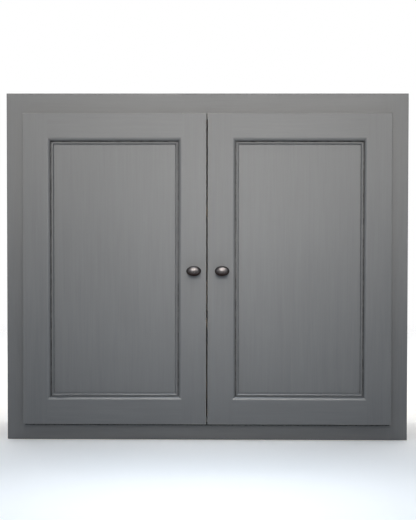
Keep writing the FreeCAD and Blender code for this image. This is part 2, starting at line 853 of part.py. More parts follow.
def hinge_stile():
    """The door's outer upright, bored for the hinge cups and their screws."""
    body = stile_body("left_door_hinge_stile", 0, 1)
    levels = (size.hinge_inset, size.hinge_inset + size.hinge_spacing)
    bores = [Circle(size.cup_centre, level, size.cup_diameter) for level in levels]
    pocket(body, "XZ", size.door_rear, size.cup_bottom, *bores)
    holes = cup_screw_holes(size.screw_bore)
    pilots = [hole._replace(up=hole.up + level) for level in levels for hole in holes]
    pocket(body, "XZ", size.door_rear, size.flange_face - size.screw_length, *pilots)
    return body


def meeting_stile(label, knob_inset):
    """The door's upright beside the other door, bored for the knob's screw."""
    body = stile_body(label, size.door_width, -1)
    hole = Circle(size.door_width - knob_inset, size.knob_level - size.bottom_reveal, size.knob_screw_bore)
    pocket(body, "XZ", size.door_rear, size.door_front, hole)
    return body


def door_rail(label, inner_edge, turn):
    """A crosspiece of the door with a groove for the panel and stub tenons in the stiles' grooves."""
    body = new_body(label, size.door_middle, size.frame_front, inner_edge, turn)
    reach = size.opening_width / 2
    section = [
        (size.door_front, 0),
        (size.door_front, size.door_frame_width, size.front_edge_radius),
        (size.door_rear, size.door_frame_width),
        (size.door_rear, 0),
        (size.panel_rear, 0),
        (size.panel_rear, size.panel_groove_depth),
        (size.panel_face, size.panel_groove_depth),
        (size.panel_face, 0),
    ]
    pad(body, "YZ", -reach, reach, section)
    reach += size.panel_groove_depth
    tenon = rectangle(-reach, size.panel_groove_depth, reach, size.door_frame_width)
    pad(body, "XZ", size.panel_face, size.panel_rear, tenon)
    return body


def door_panel():
    """The flat panel, free to move in the frame's grooves."""
    body = new_body("left_door_panel", size.door_middle, size.frame_front, size.opening_middle)
    margin = size.panel_groove_depth - size.panel_float
    reach = size.opening_width / 2 + margin
    rise = size.opening_height / 2 + margin
    pad(body, "XZ", size.panel_face, size.panel_rear, rectangle(-reach, -rise, reach, rise))
    return body


def moulding(label, across, up, length, turn):
    """A mitred strip round the panel: an ovolo from the door's face, a channel and a bead."""
    body = new_body(label, across, size.frame_front + size.panel_face, up, turn)
    channel_end = size.ovolo_width + size.channel_width
    section = [
        (0, 0),
        (-size.panel_recess, 0),
        (-size.panel_recess, -size.ovolo_width, size.ovolo_radius),
        (-size.channel_floor, -size.ovolo_width),
        (-size.channel_floor, -channel_end),
        (-size.bead_height, -channel_end, size.bead_radius),
        (-size.bead_height, -size.moulding_width, size.bead_radius),
        (0, -size.moulding_width),
    ]
    reach = length / 2
    pad(body, "YZ", -reach, reach, section)
    mitres = [
        [
            (end * reach, 0),
            (end * reach, -size.moulding_width),
            (end * (reach - size.moulding_width), -size.moulding_width),
        ]
        for end in (-1, 1)
    ]
    pocket(body, "XZ", 0, -size.panel_recess, *mitres)
    return body


def mouldings():
    """The four strips round the panel, each turned to face it."""
    half_width = size.opening_width / 2
    return [
        moulding(
            "left_door_top_moulding",
            size.door_middle, size.opening_top, size.opening_width, 0,
        ),
        moulding(
            "left_door_bottom_moulding",
            size.door_middle, size.opening_bottom, size.opening_width, 180,
        ),
        moulding(
            "left_door_hinge_side_moulding",
            size.door_middle - half_width, size.opening_middle, size.opening_height, -90,
        ),
        moulding(
            "left_door_meeting_side_moulding",
            size.door_middle + half_width, size.opening_middle, size.opening_height, 90,
        ),
    ]


def knob_place(knob_inset):
    """Where a left-hand knob's middle is across the cabinet."""
    return size.door_edge + size.door_width - knob_inset


def knob(label, knob_inset):
    """An oval knob: a round foot and waist under a flattened oval dome, bored for its screw."""
    body = new_body(label, knob_place(knob_inset), size.frame_front + size.door_front, size.knob_level)
    dome_middle = size.knob_projection - size.knob_dome_height
    stem = [
        (0, 0),
        (size.knob_foot_diameter / 2, 0),
        (size.knob_foot_diameter / 2, -size.knob_foot_thickness),
        (size.knob_waist_diameter / 2, -size.knob_waist_start, size.knob_waist_radius),
        (size.knob_waist_diameter / 2, -size.knob_waist_end, size.knob_waist_radius),
        (size.knob_neck_diameter / 2, -dome_middle),
        (0, -dome_middle),
    ]
    revolve(body, "V", stem)
    dome = body.newObject("PartDesign::AdditiveEllipsoid", "Dome")
    dome.AttachmentSupport = [(plane_of(body, "XY_Plane"), "")]
    dome.MapMode = "FlatFace"
    dome.setExpression("AttachmentOffset.Base.y", (-dome_middle).formula)
    dome.setExpression("Radius1", (size.knob_height / 2).formula)
    dome.setExpression("Radius2", (size.knob_width / 2).formula)
    dome.setExpression("Radius3", size.knob_dome_height.formula)
    pocket(body, "XZ", 0, -size.knob_screw_reach, Circle(0, 0, size.knob_screw_bore))
    return body


def knob_screw(label, knob_inset):
    """The screw that holds the knob from behind the door."""
    body = new_body(label, knob_place(knob_inset), size.frame_front + size.door_rear, size.knob_level)
    length = size.door_thickness + size.knob_screw_reach
    outline = screw_outline(
        size.knob_screw_diameter, size.knob_screw_head_diameter, size.knob_screw_head_height, length,
    )
    revolve(body, "V", turned(outline))
    return body


def bumpers():
    """The two soft buttons on the door's rear that meet the face frame when it shuts."""
    across = size.door_edge + size.door_width - size.bumper_inset
    level = size.bottom_reveal + size.overlay_width / 2
    body = new_body("left_door_bumpers", across, size.frame_front, level)
    pad(body, "XZ", size.door_rear, -size.bumper_clearance, Circle(0, 0, size.bumper_diameter))
    repeat(body, "Z", size.door_height - size.overlay_width)
    return body


def knob_side(knob_inset, ending=""):
    """The pieces of a left-hand door that follow the place of its knob."""
    return [
        meeting_stile("left_door_meeting_stile" + ending, knob_inset),
        knob("left_door_knob" + ending, knob_inset),
        knob_screw("left_door_knob_screw" + ending, knob_inset),
    ]


def hinges_and_doors():
    """Both doors with their hinges: the left one, and its mirror image with a knob place of its own."""
    left = [
        hinge_bases(),
        hinge_arms(),
        base_screws(),
        arm_screws(),
        hinge_cups(),
        hinge_pins(),
        cup_screws(),
        hinge_stile(),
        door_rail("left_door_top_rail", size.opening_top, 0),
        door_rail("left_door_bottom_rail", size.opening_bottom, 180),
        door_panel(),
        *mouldings(),
        bumpers(),
    ]
    right = [right_hand(body) for body in left + knob_side(size.right_knob_inset, PATTERN)]
    return left + knob_side(size.left_knob_inset) + right


def check(parts):
    """Stop if anything in the document failed, or a sub-part or a cut isn't what it should be."""
    for item in document.Objects:
        if {"Invalid", "Error"} & set(item.State):
            raise RuntimeError(f"{item.Label} failed")
        if item.isDerivedFrom("PartDesign::Pocket") and item.Shape.Volume >= item.BaseFeature.Shape.Volume:
            raise RuntimeError(f"{item.Label} of {item.getParentGeoFeatureGroup().Label} cuts nothing")
    for part in parts:
        if part.Shape.isNull() or not part.Shape.isValid():
            raise RuntimeError(f"{part.Label} isn't a valid solid")


document = FreeCAD.newDocument("WallCabinet")
size = make_sheet()
derive(size)
parts = case() + face_frame() + shelves() + hinges_and_doors()
document.recompute()
check(parts)
os.makedirs("parts", exist_ok=True)
for part in parts:
    part.Shape.exportStep(f"parts/{part.Label}.step")
print(len(parts), "sub-parts,", sum(len(part.Shape.Solids) for part in parts), "solids")
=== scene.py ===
"""Dresses a face-frame wall cabinet: brushed grey paint, bare birch, plated hinges, knobs and mouldings."""

import json
import math
from collections import namedtuple

import bpy
import numpy as np
from bpy.props import FloatProperty, FloatVectorProperty, PointerProperty, StringProperty
from mathutils import Matrix, Vector

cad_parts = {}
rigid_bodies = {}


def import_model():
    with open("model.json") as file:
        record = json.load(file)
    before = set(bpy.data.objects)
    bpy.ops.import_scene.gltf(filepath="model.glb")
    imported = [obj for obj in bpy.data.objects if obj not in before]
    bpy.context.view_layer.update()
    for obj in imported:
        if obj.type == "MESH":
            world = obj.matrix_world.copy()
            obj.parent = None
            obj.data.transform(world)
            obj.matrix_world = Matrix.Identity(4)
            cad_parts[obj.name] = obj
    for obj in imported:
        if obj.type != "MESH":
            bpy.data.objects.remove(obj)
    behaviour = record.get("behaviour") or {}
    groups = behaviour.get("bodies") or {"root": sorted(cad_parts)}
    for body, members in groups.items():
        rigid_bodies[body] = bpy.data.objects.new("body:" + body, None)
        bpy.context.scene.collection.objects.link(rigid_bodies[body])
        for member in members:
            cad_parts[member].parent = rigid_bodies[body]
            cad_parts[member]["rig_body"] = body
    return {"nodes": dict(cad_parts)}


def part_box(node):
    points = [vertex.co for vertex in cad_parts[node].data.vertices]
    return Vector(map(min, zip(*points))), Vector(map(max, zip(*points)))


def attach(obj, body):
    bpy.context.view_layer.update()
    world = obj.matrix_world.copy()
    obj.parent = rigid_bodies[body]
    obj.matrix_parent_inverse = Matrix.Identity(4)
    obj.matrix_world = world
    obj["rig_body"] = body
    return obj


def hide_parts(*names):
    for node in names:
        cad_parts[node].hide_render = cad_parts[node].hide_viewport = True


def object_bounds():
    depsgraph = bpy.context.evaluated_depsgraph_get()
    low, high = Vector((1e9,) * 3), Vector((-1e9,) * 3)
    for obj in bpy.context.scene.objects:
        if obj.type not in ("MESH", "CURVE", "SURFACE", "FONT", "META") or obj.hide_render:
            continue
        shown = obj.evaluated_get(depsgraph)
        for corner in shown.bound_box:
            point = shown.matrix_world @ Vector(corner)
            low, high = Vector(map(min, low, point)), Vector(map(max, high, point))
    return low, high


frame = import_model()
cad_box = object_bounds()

bl_info = {
    "name": "Wall cabinet looks",
    "version": (1, 0, 0),
    "blender": (4, 5, 0),
    "location": "3D View > Sidebar > Cabinet",
    "description": "Finishes, fittings and a studio for the wall cabinet",
    "category": "Object",
}

SIDES = ("left", "right")
AXES = {"x": 0, "y": 1, "z": 2}

# The directions up and out of the front.
UP = np.array((0.0, 0.0, 1.0))
FORWARD = np.array((0.0, -1.0, 0.0))

# The parts of a noise's range in which a finish changes.
WIDE = (0.3, 0.7)
NARROW = (0.35, 0.65)

# How far apart two pieces' noises may lie, and how much of that a step of the seed is along x, y and z.
SHIFT = 40.0
SHIFT_STEPS = (0.618, 0.414, 0.732)

# How much primer shows at rubbed edges, and at those of the meeting stiles, where the paler edges are both
# wear and a painted highlight beside the gap between the doors.
RUBBED = 0.3
RUBBED_AND_HIGHLIT = 0.8

# The roughness of the painted shade's matt dark tone, and how softly paint ends on bare wood, in metres.
PAINTED_SHADE_ROUGHNESS = 0.9
PAINT_END = 0.0006

# A door's painted pieces, the axis that the brush followed, and how much primer their edges show: wear, and
# on the meeting stile a painted highlight too.
DOOR_PIECES = (
    ("hinge_stile", "z", RUBBED),
    ("meeting_stile", "z", RUBBED_AND_HIGHLIT),
    ("panel", "z", RUBBED),
    ("top_rail", "x", RUBBED),
    ("bottom_rail", "x", RUBBED),
)

# A screw's head height, shank radius and head radius in millimetres.
HINGE_SCREW = (1.6, 1.75, 3.5)
KNOB_SCREW = (2.5, 2.0, 4.5)

# The shares of a shelf pin's length and of its collar's radius that its shank, collar and tab have.
PIN_PARTS = ((0.446, 0.653), (0.059, 1.0), (0.495, 0.933))

# The tints of the lights and of the light from all round.
AMBER = (1.0, 0.92, 0.81)
WARM = (1.0, 0.96, 0.905)
MILD = (1.0, 0.975, 0.94)
WHITE = (1.0, 1.0, 1.0)
COOL = (0.86, 0.97, 1.10)
ROOM = (0.77, 0.97, 1.22)

# What a pattern gives a surface: its colour, its roughness and its relief in metres.
Pattern = namedtuple("Pattern", "colour roughness relief")

# Where a turned piece stands: its origin, and its directions across, up and along its axis.
Seat = namedtuple("Seat", "origin across up axis")


def setting(kind, **options):
    """A function that makes properties of one kind from a name, a description and a default."""
    return lambda name, description, default: kind(
        name=name, description=description, default=default, **options
    )


length = setting(FloatProperty, unit="LENGTH", precision=5)
power = setting(FloatProperty, unit="POWER", min=0)
angle = setting(FloatProperty, subtype="ANGLE")
number = setting(FloatProperty, min=0)
share = setting(FloatProperty, subtype="FACTOR", min=0, max=1)
colour = setting(FloatVectorProperty, subtype="COLOR", min=0, max=1, size=3)
text = setting(StringProperty)


class CabinetPaint(bpy.types.PropertyGroup):
    """The brushed satin paint on the outside and on the doors."""

    body: colour("Body colour", "Colour where the paint lies full", (0.104, 0.106, 0.1085))
    ridge: colour("Ridge colour", "Colour on the ridges that the brush leaves", (0.127, 0.129, 0.131))
    primer: colour("Primer", "Colour that shows where an edge is rubbed thin", (0.24, 0.236, 0.224))
    # The dark tone of painted shade: in the mouldings' hollows, under the doors and round the face frame's
    # outline.
    shade_colour: colour("Shade", "Colour of the dirt in hollows and at edges", (0.012, 0.012, 0.012))
    gloss: share("Roughness", "How matt the paint dries", 0.46)
    sheen: share("Reflection", "How strongly the paint's skin reflects", 0.60)
    bristle: length("Bristle width", "Width of the finest brush marks", 0.0020)
    stroke: length("Stroke width", "Width of the broad brush strokes", 0.011)
    pull: length("Stroke length", "How far a brush mark runs", 0.20)
    thickness: length("Relief", "Height of the brush marks", 0.00010)
    rub: length("Rubbed edge", "How far from an edge the paint wears thin", 0.0012)


class CabinetWood(bpy.types.PropertyGroup):
    """The clear-lacquered birch of the inside."""

    early: colour("Early wood", "The paler wood between the growth rings", (0.66, 0.47, 0.29))
    late: colour("Late wood", "The darker lines of the growth rings", (0.50, 0.32, 0.175))
    glue: colour("Glue lines", "The darker plies along a board's edges", (0.30, 0.185, 0.10))
    ply: length("Ply", "Thickness of one ply", 0.0014)
    figure: length("Figure width", "Width of the figure across the grain", 0.10)
    gloss: share("Roughness", "How matt the lacquer is", 0.42)


class CabinetSteel(bpy.types.PropertyGroup):
    """The plated steel of the hinges, pins and screws."""

    plate: colour("Plating", "Colour of the plating", (0.58, 0.56, 0.53))
    stain: colour("Stain", "Colour where the plating is dull", (0.40, 0.38, 0.35))
    gloss: share("Roughness", "How dull the plating is", 0.30)
    recess: length("Cross recess", "Depth of the cross in a screw's head", 0.0011)
    pitch: length("Thread pitch", "Distance between the turns of a screw's thread", 0.0014)
    crest: length("Thread height", "Height of a screw's thread", 0.00032)


class CabinetKnob(bpy.types.PropertyGroup):
    """The oval knobs."""

    dark: colour("Dark patina", "Colour of the patina in the hollows", (0.021, 0.0100, 0.0072))
    rubbed: colour("Rubbed metal", "Colour where hands have polished the crown", (0.190, 0.180, 0.180))
    gloss: share("Roughness", "How dull the metal is", 0.37)
    foot: length("Foot radius", "Radius of the foot on the door", 0.0080)
    foot_thickness: length("Foot thickness", "Thickness of the foot", 0.0020)
    waist: length("Waist radius", "Radius of the narrow part", 0.0045)
    waist_at: length("Waist height", "Distance of the narrow part from the door", 0.0075)
    dome: length("Dome height", "Half the thickness of the oval dome", 0.0065)


class CabinetMoulding(bpy.types.PropertyGroup):
    """The section of the strips round the panels, from the door frame towards the panel."""

    ovolo: length("Ovolo width", "Width of the rounded outer member", 0.0078)
    ovolo_drop: length("Ovolo drop", "How far the outer member's rounding falls", 0.0062)
    channel: length("Channel width", "Width of the hollow beside the bead", 0.0034)
    floor: length("Channel floor", "Height of the hollow's floor above the panel", 0.0010)
    bead_height: length("Bead height", "Height of the bead above the panel", 0.0052)
    lip: length("Bead lip", "Radius of the bead's edge beside the hollow", 0.0008)
    softness: length("Paint softness", "How far the paint rounds the section's corners", 0.0005)
    # The strips' reflection, gloss and painted shade go by how each faces up: the top strips are duller and
    # darkest in their hollows, the bottom ones glossier, a painted highlight, with little painted shade.
    gleam: share("Gleam", "How much less matt the wiped bottom strips are", 0.12)
    sheen: share("Reflection", "How strongly the wiped bottom strips reflect", 0.95)
    dull: share("Dull reflection", "How strongly the top strips reflect", 0.50)
    painted_shade: share("Shading", "How much dirt lies in the hollows of the top strips", 1.0)
    side_shade: share("Side dirt", "How much of the top strips' dirt the side strips have", 0.85)
    bottom_shade: share("Bottom dirt", "How much dirt is left in the hollows of the bottom strips", 0.25)
    waver: length("Waver", "How far the members of every strip wander from straight", 0.00015)
    bent_strip: text("Bent strip", "The one strip with a bend in it", "left_door_bottom_moulding")
    sag: length("Sag", "How far the bent strip's members drop at the bend", 0.0017)
    sag_place: length("Bend place", "Distance of the bend from that strip's left end", 0.026)
    sag_width: length("Bend width", "How far the bend reaches along the strip", 0.011)


class CabinetStudio(bpy.types.PropertyGroup):
    """The camera and the light."""

    distance: length("Camera distance", "Distance of the camera from the face frame", 3.0)
    right: length("Camera right", "How far right of the middle the camera stands", 0.043)
    height: length("Camera height", "Height of the camera", 0.502)
    tilt: angle("Tilt", "Camera tilt below level", math.radians(1.73))
    turn: angle("Turn", "Camera turn to the left", math.radians(0.78))
    roll: angle("Roll", "Camera roll", math.radians(0.07))
    lens: number("Focal length", "Focal length in millimetres on a sensor 36 mm wide", 91.13)
    window: power("Window light", "Power of the large light behind the camera", 1.50)
    softbox: power("Softbox", "Power of the soft light before the doors", 1.08)
    lamp: power("Lamp", "Power of the small light on the knobs' height", 0.18)
    strip: power("Strip light", "Power of the wide light above the doors", 2.10)
    floor_light: power("Floor light", "Power of the light on the floor before the cabinet", 2.35)
    backdrop: power("Backdrop light", "Power of the light on the floor behind the cabinet", 75.0)
    sky: number("Room light", "Strength of the light from all round", 0.24)
    glow: number("Floor glow", "Strength of the floor's own light", 0.15)


SETTINGS = {
    "cabinet_paint": CabinetPaint,
    "cabinet_wood": CabinetWood,
    "cabinet_steel": CabinetSteel,
    "cabinet_knob": CabinetKnob,
    "cabinet_moulding": CabinetMoulding,
    "cabinet_studio": CabinetStudio,
}


class Finish:
    """A material under construction, whose nodes are added by short calls."""

    def __init__(self, name, **sockets):
        self.material = bpy.data.materials.new(name)
        self.material.use_nodes = True
        self.tree = self.material.node_tree
        self.shader = self.tree.nodes["Principled BSDF"]
        where = self.tree.nodes.new("ShaderNodeTexCoord").outputs
        self.position, self.facing = where["Object"], where["Normal"]
        for socket, value in sockets.items():
            self.shader.inputs[socket.replace("_", " ")].default_value = value

    def node(self, kind, *values, out=0, **settings):
        """Add a node, set it up, feed its inputs in order and return one of its outputs."""
        made = self.tree.nodes.new("ShaderNode" + kind)
        for name, value in settings.items():
            setattr(made, name, value)
        for socket, value in zip(made.inputs, values):
            self.feed(socket, value)
        return made.outputs[out]

    def feed(self, socket, value):
        """Link an output to an input, or write a value into it."""
        if isinstance(value, bpy.types.NodeSocket):
            self.tree.links.new(value, socket)
        elif value is not None:
            socket.default_value = value

    def calc(self, operation, *values):
        """A calculation with numbers."""
        return self.node("Math", *values, operation=operation)

    def times(self, first, second):
        """The product of two numbers."""
        return self.calc("MULTIPLY", first, second)

    def plus(self, first, second):
        """The sum of two numbers."""
        return self.calc("ADD", first, second)

    def shared(self, first, second, share_of_second):
        """A share of the second number and the rest of the first, added."""
        return self.plus(self.times(first, 1 - share_of_second), self.times(second, share_of_second))

    def vector(self, operation, *values):
        """A calculation with vectors."""
        return self.node("VectorMath", *values, operation=operation)

    def spread(self, value, low, high, start=0.0, end=1.0):
        """Carry a value from one range to another, held within it."""
        return self.node("MapRange", value, start, end, low, high)

    def ramp(self, value, start, end):
        """Rise from 0 to 1 while a value goes from start to end."""
        return self.spread(value, 0.0, 1.0, start, end)

    def blend(self, factor, first, second):
        """Mix two colours. Of a Mix node's inputs, 0 is the factor, and 6, 7 and output 2 are colours."""
        made = self.tree.nodes.new("ShaderNodeMix")
        made.data_type = "RGBA"
        for socket, value in zip((made.inputs[0], made.inputs[6], made.inputs[7]), (factor, first, second)):
            is_colour = not isinstance(value, (float, bpy.types.NodeSocket))
            self.feed(socket, (*value, 1.0) if is_colour else value)
        return made.outputs[2]

    def between(self, factor, first, second):
        """Mix two numbers."""
        return self.node("Mix", factor, None, first, second)

    def noise(self, spacing, seed, detail=2.0, roughness=0.55):
        """A noise whose marks are as long as the spacing says, in metres, along all axes or along each."""
        scale = Vector(1 / np.broadcast_to(spacing, 3))
        shifted = self.node("Mapping", self.position, seed_offset(seed), (0.0, 0.0, 0.0), scale)
        return self.node("TexNoise", shifted, None, 1.0, detail, roughness)

    def place(self, axis):
        """The surface's place along an axis, in metres."""
        return self.node("SeparateXYZ", self.position, out=AXES[axis])

    def depths(self, low, high):
        """How deep a point lies in a box along x, y and z, from the nearer of each two faces."""
        above = self.vector("SUBTRACT", self.position, low)
        below = self.vector("SUBTRACT", high, self.position)
        nearest = self.vector("MINIMUM", above, below)
        return [self.node("SeparateXYZ", nearest, out=axis) for axis in range(3)]

    def inside(self, low, high, softness, wander):
        """1 well inside a box, 0 outside it, with a wandering edge that is as soft as asked."""
        across, along, up = self.depths(low, high)
        depth = self.calc("MINIMUM", self.calc("MINIMUM", across, along), up)
        return self.ramp(self.plus(depth, wander), 0.0, softness)

    def edge_distance(self, low, high):
        """How far a point on a box's surface is from the box's nearest edge."""
        across, along, up = self.depths(low, high)
        total = self.plus(self.plus(across, along), up)
        return self.calc("SUBTRACT", total, self.calc("MAXIMUM", self.calc("MAXIMUM", across, along), up))

    def end(self, pattern):
        """Give the shader its pattern and return the finished material."""
        bump = self.tree.nodes.new("ShaderNodeBump")
        bump.inputs["Distance"].default_value = 1.0
        self.feed(bump.inputs["Height"], pattern.relief)
        self.feed(self.shader.inputs["Base Color"], pattern.colour)
        self.feed(self.shader.inputs["Roughness"], pattern.roughness)
        self.feed(self.shader.inputs["Normal"], bump.outputs[0])
        return self.material


def seed_offset(seed):
    """A noise's shift, which differs from piece to piece: along each axis a fraction given by the seed."""
    return Vector([math.modf(seed * step)[0] * SHIFT for step in SHIFT_STEPS])


def seed_of(name):
    """A number of a piece's own below 997, from the letters of its name."""
    return sum(place * ord(letter) for place, letter in enumerate(name, start=1)) % 997


def along_axis(axis, along, across):
    """The spacing of marks that run along one axis."""
    return [along if number == AXES[axis] else across for number in range(3)]


def paint_pattern(finish, paint, axis, seed, box=None, edge_tone=None, rubbed=RUBBED):
    """Brushed paint: fine bristle marks on broad strokes along an axis, over a faint cloud. At a box's edges
    some of another tone shows, the primer's unless one is given, with a ragged border: primer as wear, on
    the meeting stiles also a painted highlight, and the shade colour on the face frame as a painted shade
    line."""
    cloud_size, broad_share, cloud_share = (0.23, 0.23, 0.31), 0.55, 0.25
    smoother, rougher = 0.05, 0.11
    fine = finish.noise(along_axis(axis, paint.pull / 2, paint.bristle), seed, 1.0)
    broad = finish.noise(along_axis(axis, paint.pull, paint.stroke), seed + 1, 3.0, 0.6)
    cloud = finish.noise(cloud_size, seed + 2, 2.0)
    marks = finish.shared(fine, broad, broad_share)
    tone = finish.shared(marks, cloud, cloud_share)
    shade = finish.blend(finish.ramp(tone, 0.34, 0.66), paint.body, paint.ridge)
    if box:
        edge = finish.calc("SUBTRACT", finish.edge_distance(*box), finish.times(broad, paint.rub))
        edge_wear_and_painted_light = finish.spread(edge, rubbed, 0.0, -paint.rub / 2, paint.rub)
        shade = finish.blend(edge_wear_and_painted_light, shade, edge_tone or paint.primer)
    roughness = finish.spread(marks, paint.gloss - smoother, paint.gloss + rougher, *WIDE)
    return Pattern(shade, roughness, finish.times(marks, paint.thickness))


def with_painted_shade(finish, paint, pattern, amount):
    """The same paint with an amount of painted shade on it, in the shade colour and matt."""
    return Pattern(
        finish.blend(amount, pattern.colour, paint.shade_colour),
        finish.between(amount, pattern.roughness, PAINTED_SHADE_ROUGHNESS),
        pattern.relief,
    )


def shaded_in_hollows(finish, paint, pattern, inset, hollows, most):
    """The same paint with painted shade in hollows, each given by how far in from an edge it starts and
    ends. The shade's amount wanders between half of the most and the most."""
    soft, lump, seed = 0.0005, 0.012, 11
    ragged = finish.noise(lump, seed, 3.0)
    painted_shade = None
    for start, end in hollows:
        after = finish.ramp(inset, start - soft, start + soft)
        before = finish.spread(inset, 1.0, 0.0, end - soft, end + soft)
        band = finish.times(after, before)
        painted_shade = band if painted_shade is None else finish.calc("MAXIMUM", painted_shade, band)
    amount = finish.times(painted_shade, finish.spread(ragged, most / 2, most, *NARROW))
    return with_painted_shade(finish, paint, pattern, amount)


def wood_pattern(finish, wood, axis, seed, layers=None):
    """Birch: growth rings as the contour lines of a stretched noise, pores, and plies on a sheet's edges."""
    stretch, contours = 9, 95.0
    pore_length, pore_width, pore_depth = 0.018, 0.0007, 0.00005
    cloud_length, cloud_width = 0.5, 0.09
    smoother, rougher = 0.04, 0.16
    figure = finish.noise(along_axis(axis, wood.figure * stretch, wood.figure), seed, 1.0, 0.4)
    rings = finish.calc("SINE", finish.times(figure, contours))
    pores = finish.noise(along_axis(axis, pore_length, pore_width), seed + 1, 1.0)
    cloud = finish.noise(along_axis(axis, cloud_length, cloud_width), seed + 2, 2.0)
    late = finish.times(finish.spread(rings, 0.0, 0.55, -0.2, 1.0), finish.spread(cloud, 0.4, 1.0, *NARROW))
    shade = finish.blend(finish.plus(late, finish.spread(pores, 0.0, 0.3, 0.5, 0.8)), wood.early, wood.late)
    roughness = finish.spread(pores, wood.gloss - smoother, wood.gloss + rougher, 0.35, 0.7)
    if layers:
        torn_size, edge_roughness, half_faced = 0.004, (0.55, 0.8), 0.5
        glue_start, glue_full = wood.ply * 0.6, wood.ply * 0.72
        bands = finish.calc("PINGPONG", finish.place(layers), wood.ply)
        ragged = finish.noise(torn_size, seed + 3, 2.0)
        torn = finish.plus(bands, finish.times(ragged, wood.ply / 3))
        plies = finish.blend(finish.ramp(torn, glue_start, glue_full), wood.early, wood.glue)
        facing = finish.node("SeparateXYZ", finish.facing, out=AXES[layers])
        on_edge = finish.calc("LESS_THAN", finish.calc("ABSOLUTE", facing), half_faced)
        shade = finish.blend(on_edge, shade, plies)
        roughness = finish.between(on_edge, roughness, finish.spread(ragged, *edge_roughness))
    return Pattern(shade, roughness, finish.times(pores, pore_depth))


def partly_painted(finish, bare, painted, coverage):
    """Bare wood where the coverage is 1 and paint where it is 0."""
    return Pattern(
        finish.blend(coverage, painted.colour, bare.colour),
        finish.between(coverage, painted.roughness, bare.roughness),
        finish.between(coverage, painted.relief, bare.relief),
    )


def box_of(*nodes):
    """The lowest and highest corner of one or more nodes."""
    corners = [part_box(node) for node in nodes]
    low = Vector(np.min([corner[0] for corner in corners], axis=0))
    high = Vector(np.max([corner[1] for corner in corners], axis=0))
    return low, high


def grain_of(name, sheet):
    """The axis that a board is longest along, and for a sheet the one that its plies are stacked along."""
    low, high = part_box(name)
    size = np.array(high - low)
    return "xyz"[size.argmax()], "xyz"[size.argmin()] if sheet else None


def wear(node, material):
    """Give a packed node its finish."""
    slots = frame["nodes"][node].data.materials
    slots.clear()
    slots.append(material)


def paint_of(name, settings, axis, box, rubbed):
    """A material of plain brushed paint, rubbed at a box's edges."""
    paint = settings.cabinet_paint
    finish = Finish(name + "_paint", Specular_IOR_Level=paint.sheen)
    return finish.end(paint_pattern(finish, paint, axis, seed_of(name), box, rubbed=rubbed))


def wood_of(name, settings, sheet=True):
    """A material of bare birch, with plies on its edges if the board is a sheet."""
    axis, layers = grain_of(name, sheet)
    finish = Finish(name + "_birch")
    return finish.end(wood_pattern(finish, settings.cabinet_wood, axis, seed_of(name), layers))


def undercoated_and_shadowed(finish, paint, painted, box, ragged, wander):
    """The same paint with only undercoat inside a box, and with a painted shadow line that runs along the
    box's underside and a little past its corners, where the doors shade the frame."""
    low, high = box
    primed_sway, shadow_sway = 0.4, 0.3
    past_corner, shadow_width, shadow_soft = 0.0025, 0.0086, 0.001
    primed = finish.inside(low, high, PAINT_END, finish.times(wander, primed_sway))
    primed = finish.times(primed, finish.spread(ragged, 0.75, 1.0, 0.35, 0.6))
    painted = painted._replace(colour=finish.blend(primed, painted.colour, paint.primer))
    # A painted shadow under the doors' lower edge, in the shade colour.
    shadow_low = Vector((low.x - past_corner, low.y, low.z - shadow_width))
    shadow_high = Vector((high.x + past_corner, high.y, low.z))
    painted_shade = finish.inside(shadow_low, shadow_high, shadow_soft, finish.times(wander, shadow_sway))
    return with_painted_shade(finish, paint, painted, finish.times(painted_shade, finish.spread(ragged, 0.7, 1.0, *NARROW)))


def part_painted_of(name, settings, bare_box, sheet, edge_tone_box, edge_tone=None, undercoat=None):
    """A material of birch that is painted all over except inside one box, with another tone at the edges of
    a second box, and with only undercoat inside a third, along whose underside runs a painted shadow line."""
    paint = settings.cabinet_paint
    axis, layers = grain_of(name, sheet)
    seed = seed_of(name)
    lump, sway = 0.006, 0.0015
    finish = Finish(name + "_part_paint", Specular_IOR_Level=paint.sheen)
    painted = paint_pattern(finish, paint, axis, seed, edge_tone_box, edge_tone)
    bare = wood_pattern(finish, settings.cabinet_wood, axis, seed, layers)
    ragged = finish.noise(lump, seed + 5, 3.0)
    wander = finish.spread(ragged, -sway, sway, *WIDE)
    if undercoat:
        painted = undercoated_and_shadowed(finish, paint, painted, undercoat, ragged, wander)
    return finish.end(partly_painted(finish, bare, painted, finish.inside(*bare_box, PAINT_END, wander)))


class CABINET_OT_paint_case(bpy.types.Operator):
    """Paint the outside of the case and the face frame, and leave their inside bare"""

    bl_idname = "cabinet.paint_case"
    bl_label = "Paint the case"

    def execute(self, context):
        settings = context.scene
        shade_colour = settings.cabinet_paint.shade_colour
        low, high = box_of("frame_left_stile", "frame_right_stile", "left_side_panel")
        rear_of_frame = box_of("frame_top_rail")[1].y
        # How far paint laps round an edge, and a distance that reaches past the whole cabinet.
        lap, beyond = 0.003, 1.0

        def bare_box(rise):
            """The bare space behind the frame, from a rise above the underside to as far below the top."""
            return (
                Vector((low.x + lap, rear_of_frame - lap, low.z + rise)),
                Vector((high.x - lap, high.y + beyond, high.z - rise)),
            )

        behind_frame, inside_case = bare_box(lap), bare_box(-beyond)
        whole_frame = box_of("frame_left_stile", "frame_right_stile")
        doors = box_of("left_door_hinge_stile", "right_door_hinge_stile")
        undercoat = (doors[0] + Vector((lap, -beyond, lap)), doors[1] + Vector((-lap, beyond, -lap)))
        for node in ("frame_left_stile", "frame_right_stile", "frame_top_rail", "frame_bottom_rail"):
            # On the face frame the edge tone is the shade colour: a painted shade line round the frame's
            # outline.
            wear(node, part_painted_of(node, settings, behind_frame, False, whole_frame, shade_colour, undercoat))
        for node in ("left_side_panel", "right_side_panel"):
            wear(node, part_painted_of(node, settings, inside_case, True, box_of(node)))
        return {"FINISHED"}


